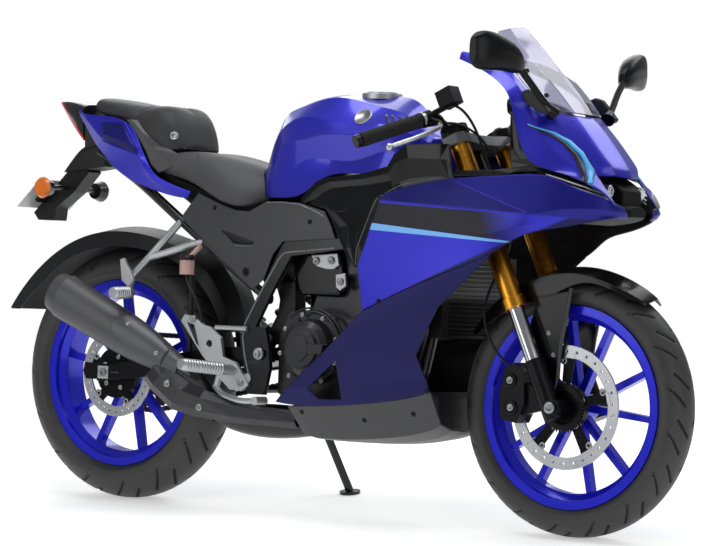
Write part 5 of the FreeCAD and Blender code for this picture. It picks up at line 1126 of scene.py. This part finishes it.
# Painted shade: black film for the slanted slashes in the side cover
film("side_cover_slash_shade", nodes["side_covers"], [(357, 676), (412, 664), (468, 650)],
     [(359, 674), (402, 644), (462, 641)], matt_black, "grey_plastic")
bead("side_cover_slash_lip", nodes["side_covers"], [(404, 640), (432, 638), (464, 640)], 1.4, highlight_grey,
     "grey_plastic")
GROMMET = [(-1, 11), (1.2, 11), (1.8, 10), (1.2, 8.4), (0.3, 8), (0.3, 0)]
set_on(nodes["side_covers"], "side_cover_grommets", [(443, 577)], GROMMET, *MOULDED)
for hand, name in SIDES:
    bead("fairing_crease_" + name, nodes["side_fairing_" + name], [(892, 752), (1286, 727)], 1.2, satin_blue,
         "blue_paint", hands=(hand,))
    bead("blade_crease_" + name, nodes["side_fairing_" + name], [(1085, 798), (1286, 730)], 1.2, satin_blue,
         "blue_paint", hands=(hand,))
welt = [(34, 112), (44, 100), (74, 62), (104, 34), (128, 12)]
seam = []
for x, y in [(x, -y) for x, y in welt] + [(136, 0)] + welt[::-1]:
    place, normal = strike(pillion_seat, (x, y, 1200), (0, 0, -1))
    if place:
        seam.append(tuple(place + normal * 0.2))
tube("pillion_seat_welt", seam, 2.0, dark_vinyl, "seat_vinyl")
for step, radius in enumerate((92, 99)):
    arc = [round_hub(CLUTCH, radius, math.radians(a), -116 + 5 * step) for a in range(10, 135, 12)]
    tube("clutch_cover_rim_%d" % (step + 1), arc, 2.4, engine_black, "cast_dark")
print("seam points", len(seam))

# %% [markdown]
# Small closing pieces: the grey covers between seat and tail, the feet under
# the mirror stalks, the belly pan's front with two screws, and the black air
# duct between the lamps, which hides each lamp from the far side. The footrest
# pegs carry raised ribs.

# %% Covers, feet, duct and peg ribs
folded("seat_side_covers", [[[(38, 945, 107), (72, 910, 108), (104, 868, 108), (124, 832, 108), (150, 812, 108)],
                             [(52, 945, 104), (88, 912, 104), (124, 874, 104), (158, 846, 102), (192, 830, 100)],
                             [(66, 944, 92), (104, 914, 92), (150, 882, 90), (198, 858, 88), (240, 846, 88)]]],
       2.5, matt_grey, "grey_plastic")
plate("mirror_feet", [(1234, 1003), (1252, 1010), (1271, 1004), (1293, 981), (1312, 959), (1304, 950), (1284, 957),
                      (1252, 976)], 152, 16, *MOULDED, bevel=4, hands=HANDS)
BELLY_FRONT = [(-146, 313), (-109, 243), (-54, 229), (0, 225), (54, 229), (109, 243), (146, 313)]
spots = ([(1004, y, 314) for y, z in BELLY_FRONT] + [(1010, y * 0.985, max(z, 300)) for y, z in BELLY_FRONT] +
         [(1014, y * 0.98, z) for y, z in BELLY_FRONT])
front = piece("belly_front", spots, grid_faces(3, len(BELLY_FRONT)), matt_black, "grey_plastic", smooth=False)
add_modifier(front, "SOLIDIFY", thickness=3 * MM, offset=0.0)
turned("belly_front_screws", [((1012, y, 279), (1, 0, 0), SCREW) for y in (-75, 75)], *DARK)
plate("nose_duct", [(1370, 744), (1436, 744), (1447, 752), (1446, 788), (1424, 804), (1370, 806)], 41, 82,
      *INNER, bevel=4)


def ribs(start, end, first, last, low, high, pitch):
    """Raised ribs round a peg, from first to last mm along it."""
    profile, run = [(first, low - 1)], first
    while run < last - pitch:
        profile += [(run, low), (run + 1, high), (run + pitch * 0.6, high), (run + pitch * 0.6 + 1, low)]
        run += pitch
    return (start, tuple(Vector(end) - Vector(start)), profile + [(last, low), (last, low - 1)])


pegs = []
for hand in HANDS:
    pegs.append(ribs((430, hand * 131, 338), (385, hand * 285, 352), 40, 158, 13.2, 15.4, 8))
    pegs.append(ribs((128, hand * 170, 516), (124, hand * 236, 514), 12, 66, 13.2, 15.2, 7))
turned("peg_ribs", pegs, *CAST, steps=28)

# %% [markdown]
# The rear brake's cup is milky nylon with a black screw cap, so the fluid's
# level can be seen. Its hose drops to the cylinder behind the heel plate.

# %% Fluid cup cap
CUP_CAP = [(-3, 18.3), (-3, 19.2), (5, 19.2), (6.6, 17.2), (9, 17.2), (10.4, 15.4), (10.4, 0)]
turned("reservoir_cap", [((262, -122, 603), (0, 0, 1), CUP_CAP)], *MOULDED, steps=24)

# %% [markdown]
# The exhaust pipe is hot where it bends up to the silencer, so a pressed and
# painted cover, bulged along its middle, hides it from the rider's boot. Two
# nuts hold it. The front caliper's two pistons sit under round caps.

# %% Pipe cover and piston caps
cover_rows = [
    [(236, 350, 182), (264, 336, 178), (322, 305, 168), (356, 288, 150), (430, 267, 130), (500, 256, 114),
     (600, 250, 100)],
    [(222, 338, 189), (246, 320, 190), (305, 284, 180), (345, 268, 158), (428, 254, 138), (500, 244, 122),
     (600, 240, 108)],
    [(200, 318, 188), (222, 296, 188), (276, 254, 176), (322, 240, 152), (424, 228, 136), (500, 224, 120),
     (600, 222, 108)],
    [(188, 304, 176), (204, 284, 174), (258, 238, 158), (308, 222, 134), (420, 212, 118), (500, 210, 106),
     (600, 208, 96)]]
folded("pipe_cover", [cover_rows], 2.5, engine_black, "frame_black", hands=(-1,))
turned("pipe_cover_nuts", [((268, -187, 300), (0, -1, 0), NUT), ((340, -150, 246), (0, -1, 0), NUT)], *BRIGHT,
       steps=24)
PISTON_CAP = [(-2, 17), (3.5, 17), (5, 15.2), (5, 12.6), (3.4, 11), (0.6, 10.4), (0.6, 0)]
set_on(nodes["front_caliper"], "piston_caps", [(1200, 290), (1196, 352)], PISTON_CAP, *DARK, "steering", hands=(-1,))
